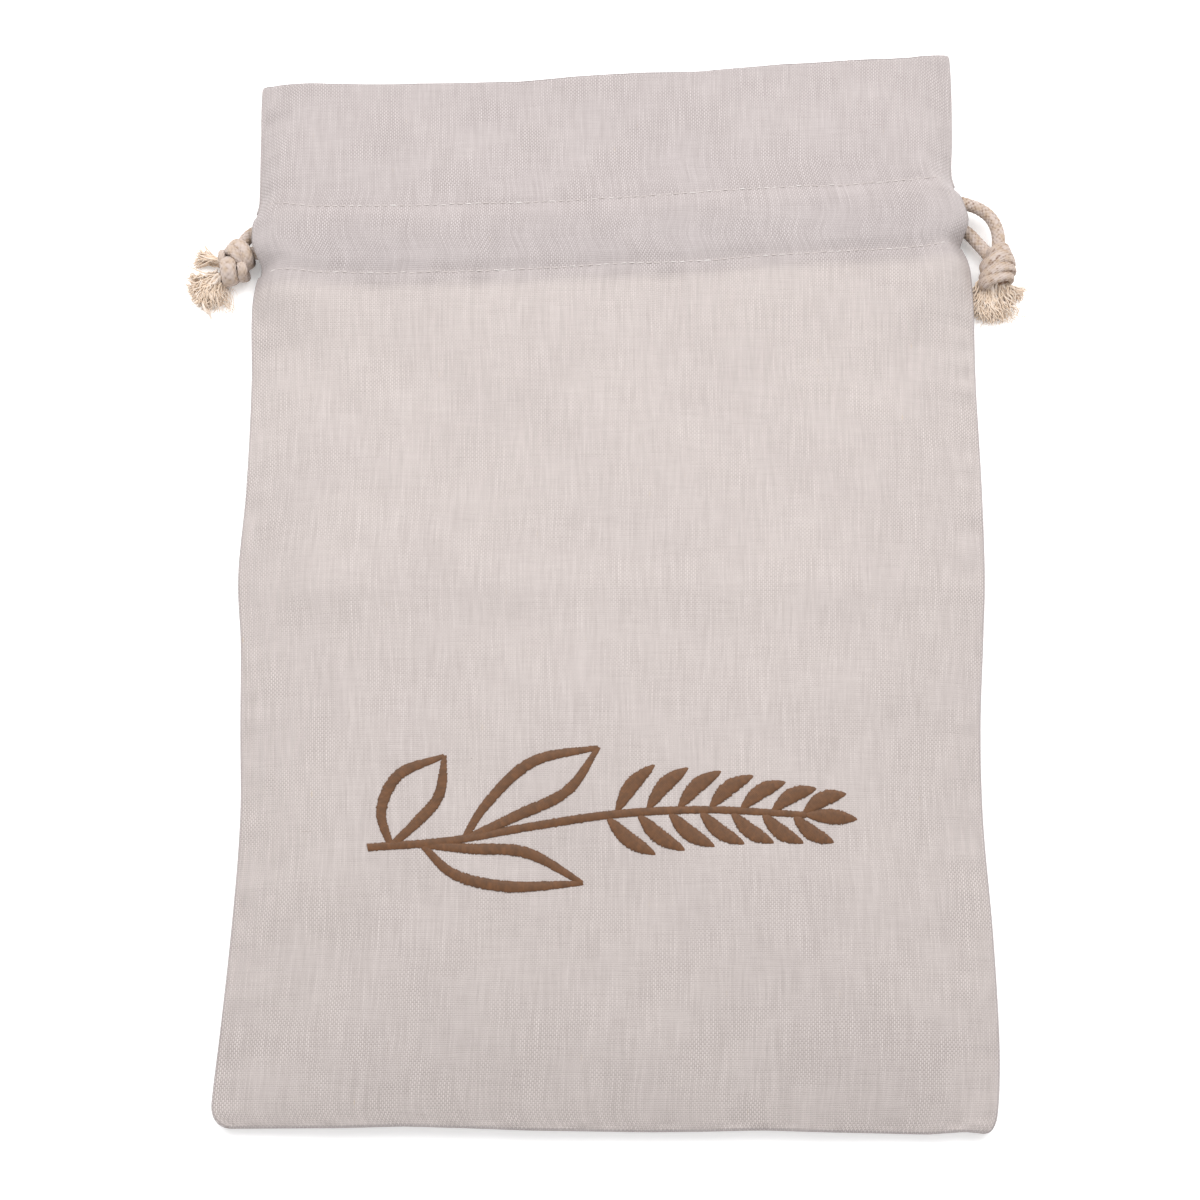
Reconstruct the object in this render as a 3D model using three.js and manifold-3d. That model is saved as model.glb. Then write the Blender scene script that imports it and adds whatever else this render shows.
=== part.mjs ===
// A drawstring bread bag of plain linen, lying on its back, empty but for the air in it.
//
// Frame: millimetres, +Z up, the mouth towards +Y, +X to the right. The back panel lies on z = 0 and
// the origin is under the middle of the cloth.
//
// The bag is two strips of linen. Each runs from the bottom seam up through the body, the casing and
// the flap, turns over at the mouth, and comes back down inside as a deep hem that ends just below
// the lower stitch row. Between the two stitch rows the layers part and hold the two drawcords.

import * as THREE from 'three';
import { mergeVertices } from 'three/addons/utils/BufferGeometryUtils.js';
import Module from 'manifold-3d';

const wasm = await Module();
wasm.setup();

// ---------------------------------------------------------------- driving dimensions

const CLOTH = 1.0; // thickness of one layer
const PIECE_GAP = 0.3; // air between two pieces that touch
const HEM_STEP = 1.6; // from the middle of a layer to the middle of the hem under it
const SEAM_ALLOWANCE = 5; // turned in along the sewn sides and the bottom
const SEAM_FOLD = 0.9; // radius of the turned edge, at mid cloth
const BOTTOM_CORNER_RADIUS = { left: 8.6, right: 6.6 };
const MOUTH_CORNER_RADIUS = 2;
const CLIP_TURN = 0.25; // where the seam turns by this much, in radians, the allowance is clipped
const CLIPPED = 0.25; // share of the allowance left there
const HEM_END = 3; // hem left below the lower stitch row

const CORD_DIAMETER = 5.0;
const CORD_SIDES = 8;
const CORD_STEPS = 80;

// Lines that run across the bag: Y at the left side, Y at the right side, and how far the middle sags.
const LINES = {
  bottom: { left: -224.0, right: -225.8, sag: -0.8 },
  lowerStitch: { left: 121.6, right: 134.8, sag: 2.6 },
  upperStitch: { left: 151.4, right: 165.0, sag: 2.4 },
  mouth: { left: 212.0, right: 226.0, sag: 6.2 },
};

// The two long sides, a row for each bend in them: Y, then X of the left and of the right side.
const SIDES = [
  { y: -228, left: -151.3, right: 147.3 },
  { y: -190, left: -149.1, right: 147.3 },
  { y: -150, left: -146.7, right: 147.1 },
  { y: -107, left: -145.4, right: 145.5 },
  { y: -70, left: -147.0, right: 146.3 },
  { y: -34, left: -148.5, right: 149.1 },
  { y: -8, left: -150.7, right: 151.0 },
  { y: 30, left: -149.1, right: 151.6 },
  { y: 75, left: -148.9, right: 151.3 },
  { y: 108, left: -150.2, right: 151.9 },
  { y: 120, left: -149.2, right: 151.8 },
  { y: 127, left: -147.5, right: 151.4 },
  { y: 132, left: -149.6, right: 150.4 },
  { y: 137, left: -151.3, right: 148.4 },
  { y: 141, left: -151.4, right: 149.5 },
  { y: 146, left: -151.2, right: 151.2 },
  { y: 151, left: -150.7, right: 150.8 },
  { y: 157, left: -149.3, right: 148.9 },
  { y: 164, left: -149.3, right: 147.1 },
  { y: 171, left: -149.4, right: 145.5 },
  { y: 188, left: -149.8, right: 146.4 },
  { y: 212, left: -150.2, right: 147.1 },
  { y: 230, left: -148.5, right: 144.9 },
];

// The crown of the front panel along the middle of the bag: Y, height of the layer, and how far in
// from the side the cloth still falls towards the seam.
const CROWN = [
  { y: -228, height: 5.4, roll: 60 },
  { y: -214, height: 9.6, roll: 60 },
  { y: -195, height: 13.4, roll: 62 },
  { y: -165, height: 16.4, roll: 66 },
  { y: -120, height: 18.4, roll: 70 },
  { y: -75, height: 18.8, roll: 70 },
  { y: -32, height: 17.2, roll: 66 },
  { y: -15, height: 17.8, roll: 62 },
  { y: 2, height: 17.0, roll: 64 },
  { y: 45, height: 16.2, roll: 64 },
  { y: 85, height: 15.4, roll: 58 },
  { y: 112, height: 15.9, roll: 48 },
  { y: 128, height: 16.4, roll: 44 },
  { y: 165, height: 16.4, roll: 42 },
  { y: 198, height: 15.0, roll: 42 },
  { y: 230, height: 14.5, roll: 42 },
];

// Soft folds in the body of the front panel: a line from (x0, y0) to (x1, y1), the fold's half
// width, and its height (a trough is negative).
const FOLDS = [
  { x0: -150, y0: -205, x1: -78, y1: -140, half: 13, height: -1.6 },
  { x0: 132, y0: -150, x1: 120, y1: -75, half: 15, height: -1.5 },
  { x0: -54, y0: 8, x1: -50, y1: -50, half: 9, height: -0.9 },
  { x0: -16, y0: -122, x1: -8, y1: -172, half: 9, height: -1.0 },
  { x0: -151, y0: 108, x1: -108, y1: 62, half: 9, height: -1.3 },
  { x0: 151, y0: 118, x1: 112, y1: 74, half: 9, height: -1.3 },
  { x0: -96, y0: 118, x1: -90, y1: 72, half: 6, height: -0.9 },
  { x0: -38, y0: 118, x1: -36, y1: 84, half: 6, height: -0.8 },
  { x0: 22, y0: 120, x1: 24, y1: 80, half: 6, height: -0.8 },
  { x0: 78, y0: 124, x1: 72, y1: 82, half: 7, height: -0.9 },
];

// ---------------------------------------------------------------- derived heights, at mid cloth

const HALF_CLOTH = CLOTH / 2;
const BACK_LAYER = HALF_CLOTH;
const BACK_LIP = BACK_LAYER + 2 * SEAM_FOLD;
const FRONT_LIP = BACK_LIP + CLOTH + PIECE_GAP;
const FRONT_RIM = FRONT_LIP + 2 * SEAM_FOLD;
const NECK_ROOF = 12.9; // the hem of the front panel where it dips under the cords, over the neck
const CHANNEL = CORD_DIAMETER + 2 * PIECE_GAP + CLOTH; // middle to middle of the layers round a cord
const BACK_CORD_Z = BACK_LAYER + CHANNEL / 2;
const FRONT_CORD_Z = NECK_ROOF + CHANNEL / 2;
const CASING_TOP = NECK_ROOF + CHANNEL;
const CASING_RIM = 13.6; // the casing's outer layer where the cords leave
const CASING_ROLL = 20; // how far in from its end the casing still falls
const CHANNEL_FLAT = 0.29; // share of the casing's height that stays level, each way from its middle
const HEM_INSET = 9; // hem's side edges stop short of the seam allowance
const CHANNEL_INSET = 25; // and further in where the cords turn

// ---------------------------------------------------------------- curves and small helpers

const lerp = (a, b, t) => a + (b - a) * t;

const clamp = (value, low, high) => Math.min(high, Math.max(low, value));

/** 0 to 1 with level ends. */
const smooth = (t) => {
  const s = clamp(t, 0, 1);
  return s * s * (3 - 2 * s);
};

/** A column of a table at a given Y, on a smooth curve through the table's rows. */
function column(table, name, y) {
  let i = table.findIndex((row) => row.y > y) - 1;
  if (i < 0) i = y < table[0].y ? 0 : table.length - 2;
  const at = (k) => table[clamp(k, 0, table.length - 1)];
  const span = at(i + 1).y - at(i).y;
  const slope = (k) => (at(k + 1)[name] - at(k - 1)[name]) / (at(k + 1).y - at(k - 1).y);
  const t = clamp((y - at(i).y) / span, 0, 1);
  const a = at(i)[name];
  const b = at(i + 1)[name];
  const bend = (1 - t) * (slope(i) * span - (b - a)) + t * (b - a - slope(i + 1) * span);
  return lerp(a, b, t) + t * (1 - t) * bend;
}

/** Y of a line across the bag, u running from -1 at the left side to 1 at the right. */
const lineY = (line, u) => lerp(line.left, line.right, (u + 1) / 2) - line.sag * (1 - u * u);

/** How far a rounded corner draws the side in, at a distance from the corner's end. */
function cornerInset(radius, distance) {
  const left = clamp(radius - distance, 0, radius);
  return radius - Math.sqrt(radius * radius - left * left);
}

/** X of one side (-1 left, 1 right) at Y, with the corners rounded. */
function sideX(side, y) {
  const name = side < 0 ? 'left' : 'right';
  const fromBottom = y - lineY(LINES.bottom, side);
  const fromMouth = lineY(LINES.mouth, side) - y;
  const drawnIn = cornerInset(BOTTOM_CORNER_RADIUS[name], fromBottom)
    + cornerInset(MOUTH_CORNER_RADIUS, fromMouth);
  return column(SIDES, name, y) - side * drawnIn;
}

/** A place on the bag in plan: u across, y along, the sides drawn in by inset. */
function planX(u, y, inset) {
  return lerp(sideX(-1, y) + inset, sideX(1, y) - inset, (u + 1) / 2);
}

// ---------------------------------------------------------------- rows and columns of the cloth

// Distances in from a side where the cloth has a column, up to the middle of the bag.
const COLUMN_DISTANCES = [0, 3, 9, 18, 32, 50, 70, 90, 110, 130, 150];
const HALF_WIDTH = 150;
const COLUMNS = [
  ...COLUMN_DISTANCES.map((d) => d / HALF_WIDTH - 1),
  ...COLUMN_DISTANCES.slice(0, -1).reverse().map((d) => 1 - d / HALF_WIDTH),
];
const COARSE_COLUMNS = COLUMNS.filter((u, k) => k % 4 === 0 || k === COLUMNS.length - 1);

// Rows by the two lines that they lie between, and the share of the way from one to the other.
const rowsBetween = (low, high, shares) => shares.map((t) => ({ low: LINES[low], high: LINES[high], t }));
const BODY_ROWS = rowsBetween('bottom', 'lowerStitch', [
  0, 0.004, 0.012, 0.023, 0.045, 0.08, 0.13, 0.19, 0.25, 0.31, 0.37, 0.43, 0.5, 0.565, 0.605, 0.645,
  0.7, 0.76, 0.82, 0.88, 0.93, 0.97,
]);
const CASING_ROWS = rowsBetween('lowerStitch', 'upperStitch', [
  0, 0.08, 0.145, 0.21, 0.5, 0.79, 0.855, 0.92, 1,
]);
const FLAP_ROWS = rowsBetween('upperStitch', 'mouth', [0.08, 0.25, 0.45, 0.65, 0.85, 0.93]);
const OUTER_ROWS = [...BODY_ROWS, ...CASING_ROWS, ...FLAP_ROWS];
const FIRST_CASING_ROW = BODY_ROWS.length;
const LAST_CASING_ROW = BODY_ROWS.length + CASING_ROWS.length - 1;

const rowY = (row, u) => lerp(lineY(row.low, u), lineY(row.high, u), row.t);

/** How far the casing is open at a row: 0 at the stitch rows and outside them, 1 over the cords. */
function channelOpen(row) {
  if (row.low !== LINES.lowerStitch) return 0;
  return smooth((0.5 - Math.abs(row.t - 0.5)) / (0.5 - CHANNEL_FLAT));
}

// ---------------------------------------------------------------- heights of the layers

/** Full height inside the roll distance, falling ever faster to nothing at the side. */
const rollShare = (distance, roll, power) => 1 - (1 - clamp(distance / roll, 0, 1)) ** power;

const fromSide = (u) => (1 - Math.abs(u)) * HALF_WIDTH;

/** Height of the front panel without its casing, folds or ripples. */
function frontBase(u, y) {
  const height = column(CROWN, 'height', y);
  const share = rollShare(fromSide(u), column(CROWN, 'roll', y), 2.2);
  return FRONT_RIM + Math.max(0, height - FRONT_RIM) * share;
}

/** Sum of the soft folds at a place on the body. */
function foldHeight(x, y) {
  let sum = 0;
  for (const fold of FOLDS) {
    const along = new THREE.Vector2(fold.x1 - fold.x0, fold.y1 - fold.y0);
    const reach = along.length();
    const offset = new THREE.Vector2(x - fold.x0, y - fold.y0);
    const s = offset.dot(along) / reach;
    const aside = offset.cross(along) / reach;
    const beyond = Math.max(0, -s, s - reach);
    sum += fold.height * Math.exp(-((aside ** 2 + beyond ** 2) / fold.half ** 2));
  }
  return sum;
}

/** Gentle waves across the flap and the top of the casing, never below zero. */
const rippleHeight = (u) => 0.5 + 0.3 * Math.sin(9.5 * u + 0.6) + 0.2 * Math.sin(17 * u + 2.1);

/** The front panel's outer layer. */
function frontHeight(u, row) {
  const y = rowY(row, u);
  const base = frontBase(u, y);
  const share = rollShare(fromSide(u), 30, 2);
  if (row.low === LINES.bottom) return base + foldHeight(planX(u, y, 0), y) * share;
  const crest = CASING_RIM + (CASING_TOP - CASING_RIM) * rollShare(fromSide(u), CASING_ROLL, 2.2);
  return lerp(base, crest, channelOpen(row)) + rippleHeight(u) * share;
}

/** The front panel's hem, under the outer layer; it dips under the cords. */
function frontHemHeight(u, row) {
  const hem = frontBase(u, rowY(row, u)) - HEM_STEP;
  return hem - Math.max(0, hem - NECK_ROOF) * channelOpen(row);
}

/** The back panel's hem, over the outer layer; it rises over the cords. */
const backHemHeight = (u, row) => BACK_LAYER + HEM_STEP + (CHANNEL - HEM_STEP) * channelOpen(row);

// ---------------------------------------------------------------- sheets of cloth

/** An open surface of points and four-sided faces, turned into a solid sheet by thicken(). */
class Sheet {
  constructor() {
    this.points = [];
    this.quads = [];
  }

  addPoint(x, y, z) {
    this.points.push(new THREE.Vector3(x, y, z));
    return this.points.length - 1;
  }

  /** Joins two lines of points, the second lying to the left of the first. */
  joinLines(right, left) {
    for (let k = 0; k + 1 < right.length; k += 1) {
      this.quads.push([right[k], right[k + 1], left[k + 1], left[k]]);
    }
  }
}

// At a sharp bend the two faces of a sheet lie further from its middle than half its thickness.
const MOST_MITRE = 1.3;

/** A closed solid: the surface moved half a thickness each way along its normals, with its rim. */
function thicken(sheet, thickness) {
  const triangles = sheet.quads.flatMap(([a, b, c, d]) => [[a, b, c], [a, c, d]]);
  const faceNormals = triangles.map((corners) => {
    const [a, b, c] = corners.map((v) => sheet.points[v]);
    return b.clone().sub(a).cross(c.clone().sub(a)).normalize();
  });
  const cornerAngle = (corners, k) => {
    const [p, q, r] = [0, 1, 2].map((step) => sheet.points[corners[(k + step) % 3]]);
    return q.clone().sub(p).angleTo(r.clone().sub(p));
  };
  const normals = sheet.points.map(() => new THREE.Vector3());
  triangles.forEach((corners, f) => corners.forEach((v, k) => {
    normals[v].addScaledVector(faceNormals[f], cornerAngle(corners, k));
  }));
  normals.forEach((n) => n.normalize());
  const facing = sheet.points.map(() => 0);
  const turn = sheet.points.map(() => 0);
  triangles.forEach((corners, f) => corners.forEach((v, k) => {
    facing[v] += faceNormals[f].dot(normals[v]) * cornerAngle(corners, k);
    turn[v] += cornerAngle(corners, k);
  }));
  const count = sheet.points.length;
  const positions = [];
  for (const side of [1, -1]) {
    sheet.points.forEach((p, v) => {
      const mitre = Math.min(MOST_MITRE, turn[v] / facing[v]);
      const q = p.clone().addScaledVector(normals[v], (side * thickness * mitre) / 2);
      positions.push(q.x, q.y, q.z);
    });
  }
  const index = [];
  const edges = new Map();
  for (const [a, b, c] of triangles) {
    index.push(a, b, c, count + a, count + c, count + b);
    for (const [from, to] of [[a, b], [b, c], [c, a]]) edges.set(`${from},${to}`, [from, to]);
  }
  for (const [from, to] of edges.values()) {
    if (!edges.has(`${to},${from}`)) {
      index.push(to, from, count + from, to, count + from, count + to);
    }
  }
  const geometry = new THREE.BufferGeometry();
  geometry.setAttribute('position', new THREE.Float32BufferAttribute(positions, 3));
  geometry.setIndex(index);
  return geometry;
}

/**
 * Turns the cloth in along part of its outline: over the fold, then flat as the seam allowance.
 * The line of points runs with the cloth on its left.
 */
function addSeamAllowance(sheet, line, foldSign) {
  const plan = line.map((v) => sheet.points[v]);
  const lines = [[], [], []];
  plan.forEach((p, k) => {
    const before = plan[Math.max(0, k - 1)];
    const after = plan[Math.min(plan.length - 1, k + 1)];
    const out = new THREE.Vector2(after.y - before.y, before.x - after.x).normalize();
    const came = Math.atan2(p.y - before.y, p.x - before.x);
    const goes = Math.atan2(after.y - p.y, after.x - p.x);
    const turn = k === 0 || k === plan.length - 1 ? 0 : Math.abs(goes - came);
    const allowance = SEAM_ALLOWANCE * lerp(1, CLIPPED, clamp(turn / CLIP_TURN, 0, 1));
    const place = (distance, height) => sheet.addPoint(
      p.x + out.x * distance,
      p.y + out.y * distance,
      p.z + height * foldSign,
    );
    lines[0].push(place(SEAM_FOLD, SEAM_FOLD));
    lines[1].push(place(0, 2 * SEAM_FOLD));
    lines[2].push(place(-allowance, 2 * SEAM_FOLD));
  });
  sheet.joinLines(lines[0], line);
  sheet.joinLines(lines[1], lines[0]);
  sheet.joinLines(lines[2], lines[1]);
}

/**
 * One panel. height(u, row) is its outer layer, hemHeight(u, row) its hem, and inside is the way
 * from the outer layer to the hem: -1 down for the front panel, 1 up for the back panel.
 */
function panelGeometry({ columns, height, hemHeight, inside, mouthSetback }) {
  const sheet = new Sheet();
  const place = (u, y, z, inset) => sheet.addPoint(planX(u, y, inset), y, z);

  const bottomShift = (row) => (row === OUTER_ROWS[0] ? SEAM_FOLD : 0);
  const grid = OUTER_ROWS.map((row) => columns.map((u) => (
    place(u, rowY(row, u) + bottomShift(row), height(u, row), SEAM_FOLD)
  )));
  const mouthRow = { low: LINES.upperStitch, high: LINES.mouth, t: 1 };
  const fold = HEM_STEP / 2;
  const mouthLine = (back, step) => columns.map((u) => {
    const y = lineY(LINES.mouth, u) - mouthSetback;
    const z = (height(u, mouthRow) * (2 - step) + hemHeight(u, mouthRow) * step) / 2;
    return place(u, y - back, z, SEAM_FOLD);
  });
  grid.push(mouthLine(fold, 0), mouthLine(0, 1));

  const hemRows = [
    ...FLAP_ROWS.slice().reverse(),
    ...CASING_ROWS.slice().reverse(),
  ];
  const hemLine = (row, back, inset) => columns.map((side) => {
    const u = side * (1 - inset / HALF_WIDTH);
    return place(u, rowY(row, u) - back, hemHeight(u, row), 0);
  });
  for (const row of hemRows) {
    grid.push(hemLine(row, 0, lerp(HEM_INSET, CHANNEL_INSET, smooth(2 * channelOpen(row)))));
  }
  grid.push(hemLine(CASING_ROWS[0], HEM_END, HEM_INSET));
  for (let k = 0; k + 1 < grid.length; k += 1) sheet.joinLines(grid[k], grid[k + 1]);

  const leftSide = grid.map((line) => line[0]);
  const rightSide = grid.map((line) => line[line.length - 1]);
  const flapEnd = OUTER_ROWS.length;
  addSeamAllowance(sheet, leftSide.slice(LAST_CASING_ROW, flapEnd).reverse(), inside);
  addSeamAllowance(sheet, [
    ...leftSide.slice(1, FIRST_CASING_ROW + 1).reverse(),
    ...grid[0],
    ...rightSide.slice(1, FIRST_CASING_ROW + 1),
  ], inside);
  addSeamAllowance(sheet, rightSide.slice(LAST_CASING_ROW, flapEnd), inside);
  return thicken(sheet, CLOTH);
}

const frontPanelGeometry = () => panelGeometry({
  columns: COLUMNS,
  height: frontHeight,
  hemHeight: frontHemHeight,
  inside: -1,
  mouthSetback: 0,
});

const backPanelGeometry = () => panelGeometry({
  columns: COARSE_COLUMNS,
  height: () => BACK_LAYER,
  hemHeight: backHemHeight,
  inside: 1,
  mouthSetback: 1,
});

// ---------------------------------------------------------------- drawcords

// Each route runs from the knot, into the front casing, across, round, back through the back
// casing and out to the knot again.
const RIGHT_ROUTE = [
  [163.7, 137.0, 6.8], [163.9, 141.0, 7.0], [163.1, 146.0, 7.2], [160.6, 150.8, 7.4],
  [156.2, 154.2, 7.9], [150.4, 155.8, 9.2], [144.0, 156.0, 11.3], [136.0, 155.5, 14.1],
  [126.0, 155.0, FRONT_CORD_Z],
  [100.0, 153.3, FRONT_CORD_Z], [50.0, 150.2, FRONT_CORD_Z], [0.0, 147.7, FRONT_CORD_Z],
  [-50.0, 145.7, FRONT_CORD_Z], [-100.0, 144.3, FRONT_CORD_Z], [-122.0, 143.8, FRONT_CORD_Z],
  [-131.0, 143.6, 16.0], [-137.6, 141.6, 14.2], [-140.4, 136.7, 10.0], [-137.6, 131.8, 5.8],
  [-131.0, 129.8, 4.0], [-122.0, 129.8, BACK_CORD_Z], [-100.0, 130.3, BACK_CORD_Z],
  [-50.0, 131.7, BACK_CORD_Z], [0.0, 133.7, BACK_CORD_Z], [50.0, 136.2, BACK_CORD_Z],
  [100.0, 139.6, BACK_CORD_Z], [122.0, 142.6, BACK_CORD_Z], [136.0, 146.0, BACK_CORD_Z],
  [143.5, 147.3, 4.1], [148.6, 146.7, 4.5], [152.2, 143.6, 4.9], [155.0, 139.9, 5.3],
  [157.2, 137.0, 5.6],
];
const LEFT_ROUTE = [
  [-150.3, 130.8, 8.8], [-146.0, 130.2, 10.2], [-141.0, 129.8, 12.0], [-135.5, 129.6, 14.0],
  [-126.0, 129.7, FRONT_CORD_Z], [-100.0, 130.3, FRONT_CORD_Z], [-50.0, 131.7, FRONT_CORD_Z],
  [0.0, 133.7, FRONT_CORD_Z], [50.0, 136.2, FRONT_CORD_Z], [100.0, 139.3, FRONT_CORD_Z],
  [122.0, 140.8, FRONT_CORD_Z], [131.0, 141.5, 16.0], [137.6, 143.5, 14.2],
  [140.4, 148.4, 10.0], [137.6, 153.4, 5.8], [131.0, 155.3, 4.0], [122.0, 154.9, BACK_CORD_Z],
  [100.0, 153.3, BACK_CORD_Z], [50.0, 150.2, BACK_CORD_Z], [0.0, 147.7, BACK_CORD_Z],
  [-50.0, 145.7, BACK_CORD_Z],
  [-100.0, 144.3, BACK_CORD_Z], [-132.0, 144.8, BACK_CORD_Z], [-141.0, 145.9, 3.9],
  [-147.0, 146.0, 4.4], [-151.2, 144.3, 5.2], [-153.6, 141.9, 5.8],
];

/** A round cord along a route. */
function cordGeometry(route) {
  const path = new THREE.CatmullRomCurve3(route.map((p) => new THREE.Vector3(...p)));
  path.arcLengthDivisions = 600;
  const corners = Array.from({ length: CORD_SIDES }, (_, k) => {
    const angle = (2 * Math.PI * k) / CORD_SIDES;
    return new THREE.Vector2(Math.cos(angle), Math.sin(angle)).multiplyScalar(CORD_DIAMETER / 2);
  });
  return new THREE.ExtrudeGeometry(new THREE.Shape(corners), {
    steps: CORD_STEPS,
    extrudePath: path,
  });
}

// ---------------------------------------------------------------- knots

// The knot's three turns, from the cord's side to the frayed side: place along the axis, radius.
const KNOT_PROFILE = [
  [-8.6, 0], [-8.3, 3.6], [-6.4, 5.9], [-3.6, 6.0], [-2.6, 6.4], [0.0, 7.2], [2.6, 6.4],
  [3.6, 6.1], [6.2, 6.0], [8.3, 3.8], [8.6, 0],
];
const KNOT_SIDES = 12;

/** A knot drawn tight: three turns of cord about a level axis that points along heading. */
function knotGeometry({ centre, heading, length, width, height }) {
  const profile = KNOT_PROFILE.map(([along, radius]) => new THREE.Vector2(radius, along));
  const geometry = new THREE.LatheGeometry(profile, KNOT_SIDES);
  const half = KNOT_PROFILE.at(-1)[0];
  const thick = Math.max(...KNOT_PROFILE.map(([, radius]) => radius));
  geometry.rotateZ(-Math.PI / 2);
  geometry.scale(length / 2 / half, width / 2 / thick, height / 2 / thick);
  geometry.rotateZ(heading);
  geometry.translate(centre.x, centre.y, height / 2);
  return geometry;
}

// ---------------------------------------------------------------- frayed ends

/** A three-sided yarn on a short curved way, flat side down, tapering to its tip. */
function yarnGeometry({ root, heading, bend, length, rootZ, tipZ, width }) {
  const steps = 3;
  const positions = [];
  const index = [];
  for (let k = 0; k <= steps; k += 1) {
    const s = k / steps;
    const turn = heading + bend * s;
    const x = root.x + Math.cos(turn) * length * s;
    const y = root.y + Math.sin(turn) * length * s;
    const z = lerp(rootZ, tipZ, smooth(s * 1.25));
    const half = (width / 2) * (1 - 0.45 * s);
    const side = [Math.sin(turn) * half, -Math.cos(turn) * half];
    positions.push(x + side[0], y + side[1], z);
    positions.push(x, y, z + 1.7 * half);
    positions.push(x - side[0], y - side[1], z);
  }
  for (let k = 0; k < steps; k += 1) {
    for (let e = 0; e < 3; e += 1) {
      const a = 3 * k + e;
      const b = 3 * k + ((e + 1) % 3);
      index.push(a, a + 3, b, b, a + 3, b + 3);
    }
  }
  const last = 3 * steps;
  index.push(0, 1, 2, last, last + 2, last + 1);
  const geometry = new THREE.BufferGeometry();
  geometry.setAttribute('position', new THREE.Float32BufferAttribute(positions, 3));
  geometry.setIndex(index);
  return geometry;
}

/** The solid of a closed geometry, for joining. */
function solidOf(geometry) {
  const bare = geometry.clone();
  bare.deleteAttribute('normal');
  bare.deleteAttribute('uv');
  const merged = mergeVertices(bare, 1e-4);
  return new wasm.Manifold(new wasm.Mesh({
    numProp: 3,
    vertProperties: new Float32Array(merged.attributes.position.array),
    triVerts: new Uint32Array(merged.index.array),
  }));
}

function geometryOf(solid) {
  const mesh = solid.getMesh();
  const geometry = new THREE.BufferGeometry();
  geometry.setAttribute('position', new THREE.Float32BufferAttribute(mesh.vertProperties, 3));
  geometry.setIndex(Array.from(mesh.triVerts));
  return geometry;
}

// Yarns lie in layers, each above and a little shorter than the last.
const YARN_LAYERS = [
  { rootZ: 0.9, tipZ: 0.0, reach: 1.0 },
  { rootZ: 2.5, tipZ: 1.5, reach: 0.96 },
  { rootZ: 4.1, tipZ: 2.9, reach: 0.88 },
  { rootZ: 5.7, tipZ: 4.4, reach: 0.78 },
];
const YARN_WIDTH = 0.85;
const TASSEL_HEAD = { length: 4.4, radius: 4.1 };

/** Yarns fanned from a short head that lies against the knot. */
function tasselGeometry({ root, heading, fan, length, perLayer }) {
  const { length: headLength, radius: headRadius } = TASSEL_HEAD;
  const head = new THREE.CylinderGeometry(headRadius, headRadius * 0.8, headLength, 10);
  head.rotateZ(-Math.PI / 2);
  head.scale(1, 1, 0.9);
  head.rotateZ(heading);
  head.translate(
    root.x + (Math.cos(heading) * headLength) / 2,
    root.y + (Math.sin(heading) * headLength) / 2,
    headRadius * 0.9,
  );
  let solid = solidOf(head);
  YARN_LAYERS.forEach((layer, level) => {
    for (let k = 0; k < perLayer; k += 1) {
      const share = (k + 0.5 + 0.25 * (level % 2)) / perLayer - 0.5;
      const start = 1.2 + 0.5 * Math.cos(2 * share);
      const across = share * headRadius * 1.5;
      const yarn = yarnGeometry({
        root: {
          x: root.x + Math.cos(heading) * start - Math.sin(heading) * across,
          y: root.y + Math.sin(heading) * start + Math.cos(heading) * across,
        },
        heading: heading + fan * share,
        bend: 0.12 * Math.sin(5 * k + 2 * level),
        length: length * layer.reach * (1 - 0.1 * Math.sin(3 * k + level) ** 2 - 0.25 * share ** 2),
        rootZ: layer.rootZ,
        tipZ: layer.tipZ,
        width: YARN_WIDTH,
      });
      solid = solid.add(solidOf(yarn));
    }
  });
  return geometryOf(solid);
}

// ---------------------------------------------------------------- the object

const linen = () => new THREE.MeshStandardMaterial({ color: 0xd9cec6, roughness: 0.95, metalness: 0 });
const cotton = () => new THREE.MeshStandardMaterial({ color: 0xcdbeae, roughness: 0.95, metalness: 0 });
const frayed = () => new THREE.MeshStandardMaterial({ color: 0xd8c4a8, roughness: 1, metalness: 0 });

function piece(name, geometry, material) {
  const mesh = new THREE.Mesh(geometry, material);
  mesh.name = name;
  return mesh;
}

const degrees = (angle) => THREE.MathUtils.degToRad(angle);

const RIGHT_KNOT = {
  centre: { x: 163.2, y: 127.4 }, heading: degrees(-78), length: 17, width: 17, height: 13.4,
};
const LEFT_KNOT = {
  centre: { x: -158.9, y: 130.9 }, heading: degrees(-128), length: 21, width: 14.5, height: 13,
};
const RIGHT_TASSEL = {
  root: { x: 163.4, y: 118.2 }, heading: degrees(-84), fan: 1.7, length: 15, perLayer: 10,
};
const LEFT_TASSEL = {
  root: { x: -165.6, y: 122.2 }, heading: degrees(-132), fan: 2.3, length: 15, perLayer: 10,
};

const group = new THREE.Group();
group.name = 'linen_bread_bag';
group.add(
  piece('front_panel', frontPanelGeometry(), linen()),
  piece('back_panel', backPanelGeometry(), linen()),
  piece('drawcord_right', cordGeometry(RIGHT_ROUTE), cotton()),
  piece('drawcord_left', cordGeometry(LEFT_ROUTE), cotton()),
  piece('knot_right', knotGeometry(RIGHT_KNOT), cotton()),
  piece('knot_left', knotGeometry(LEFT_KNOT), cotton()),
  piece('tassel_right', tasselGeometry(RIGHT_TASSEL), frayed()),
  piece('tassel_left', tasselGeometry(LEFT_TASSEL), frayed()),
);

export default group;
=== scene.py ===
"""A drawstring bread bag of plain linen, lying on its back, dressed for its looks.

Frame: +Z up, the mouth towards +Y, +X to the right, the origin on the floor under the middle of the
cloth. Sizes in this file are in millimetres, and new_piece() turns them into metres.
"""

import logging
from collections.abc import Callable
from dataclasses import dataclass
from enum import Enum
from typing import NamedTuple

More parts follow.
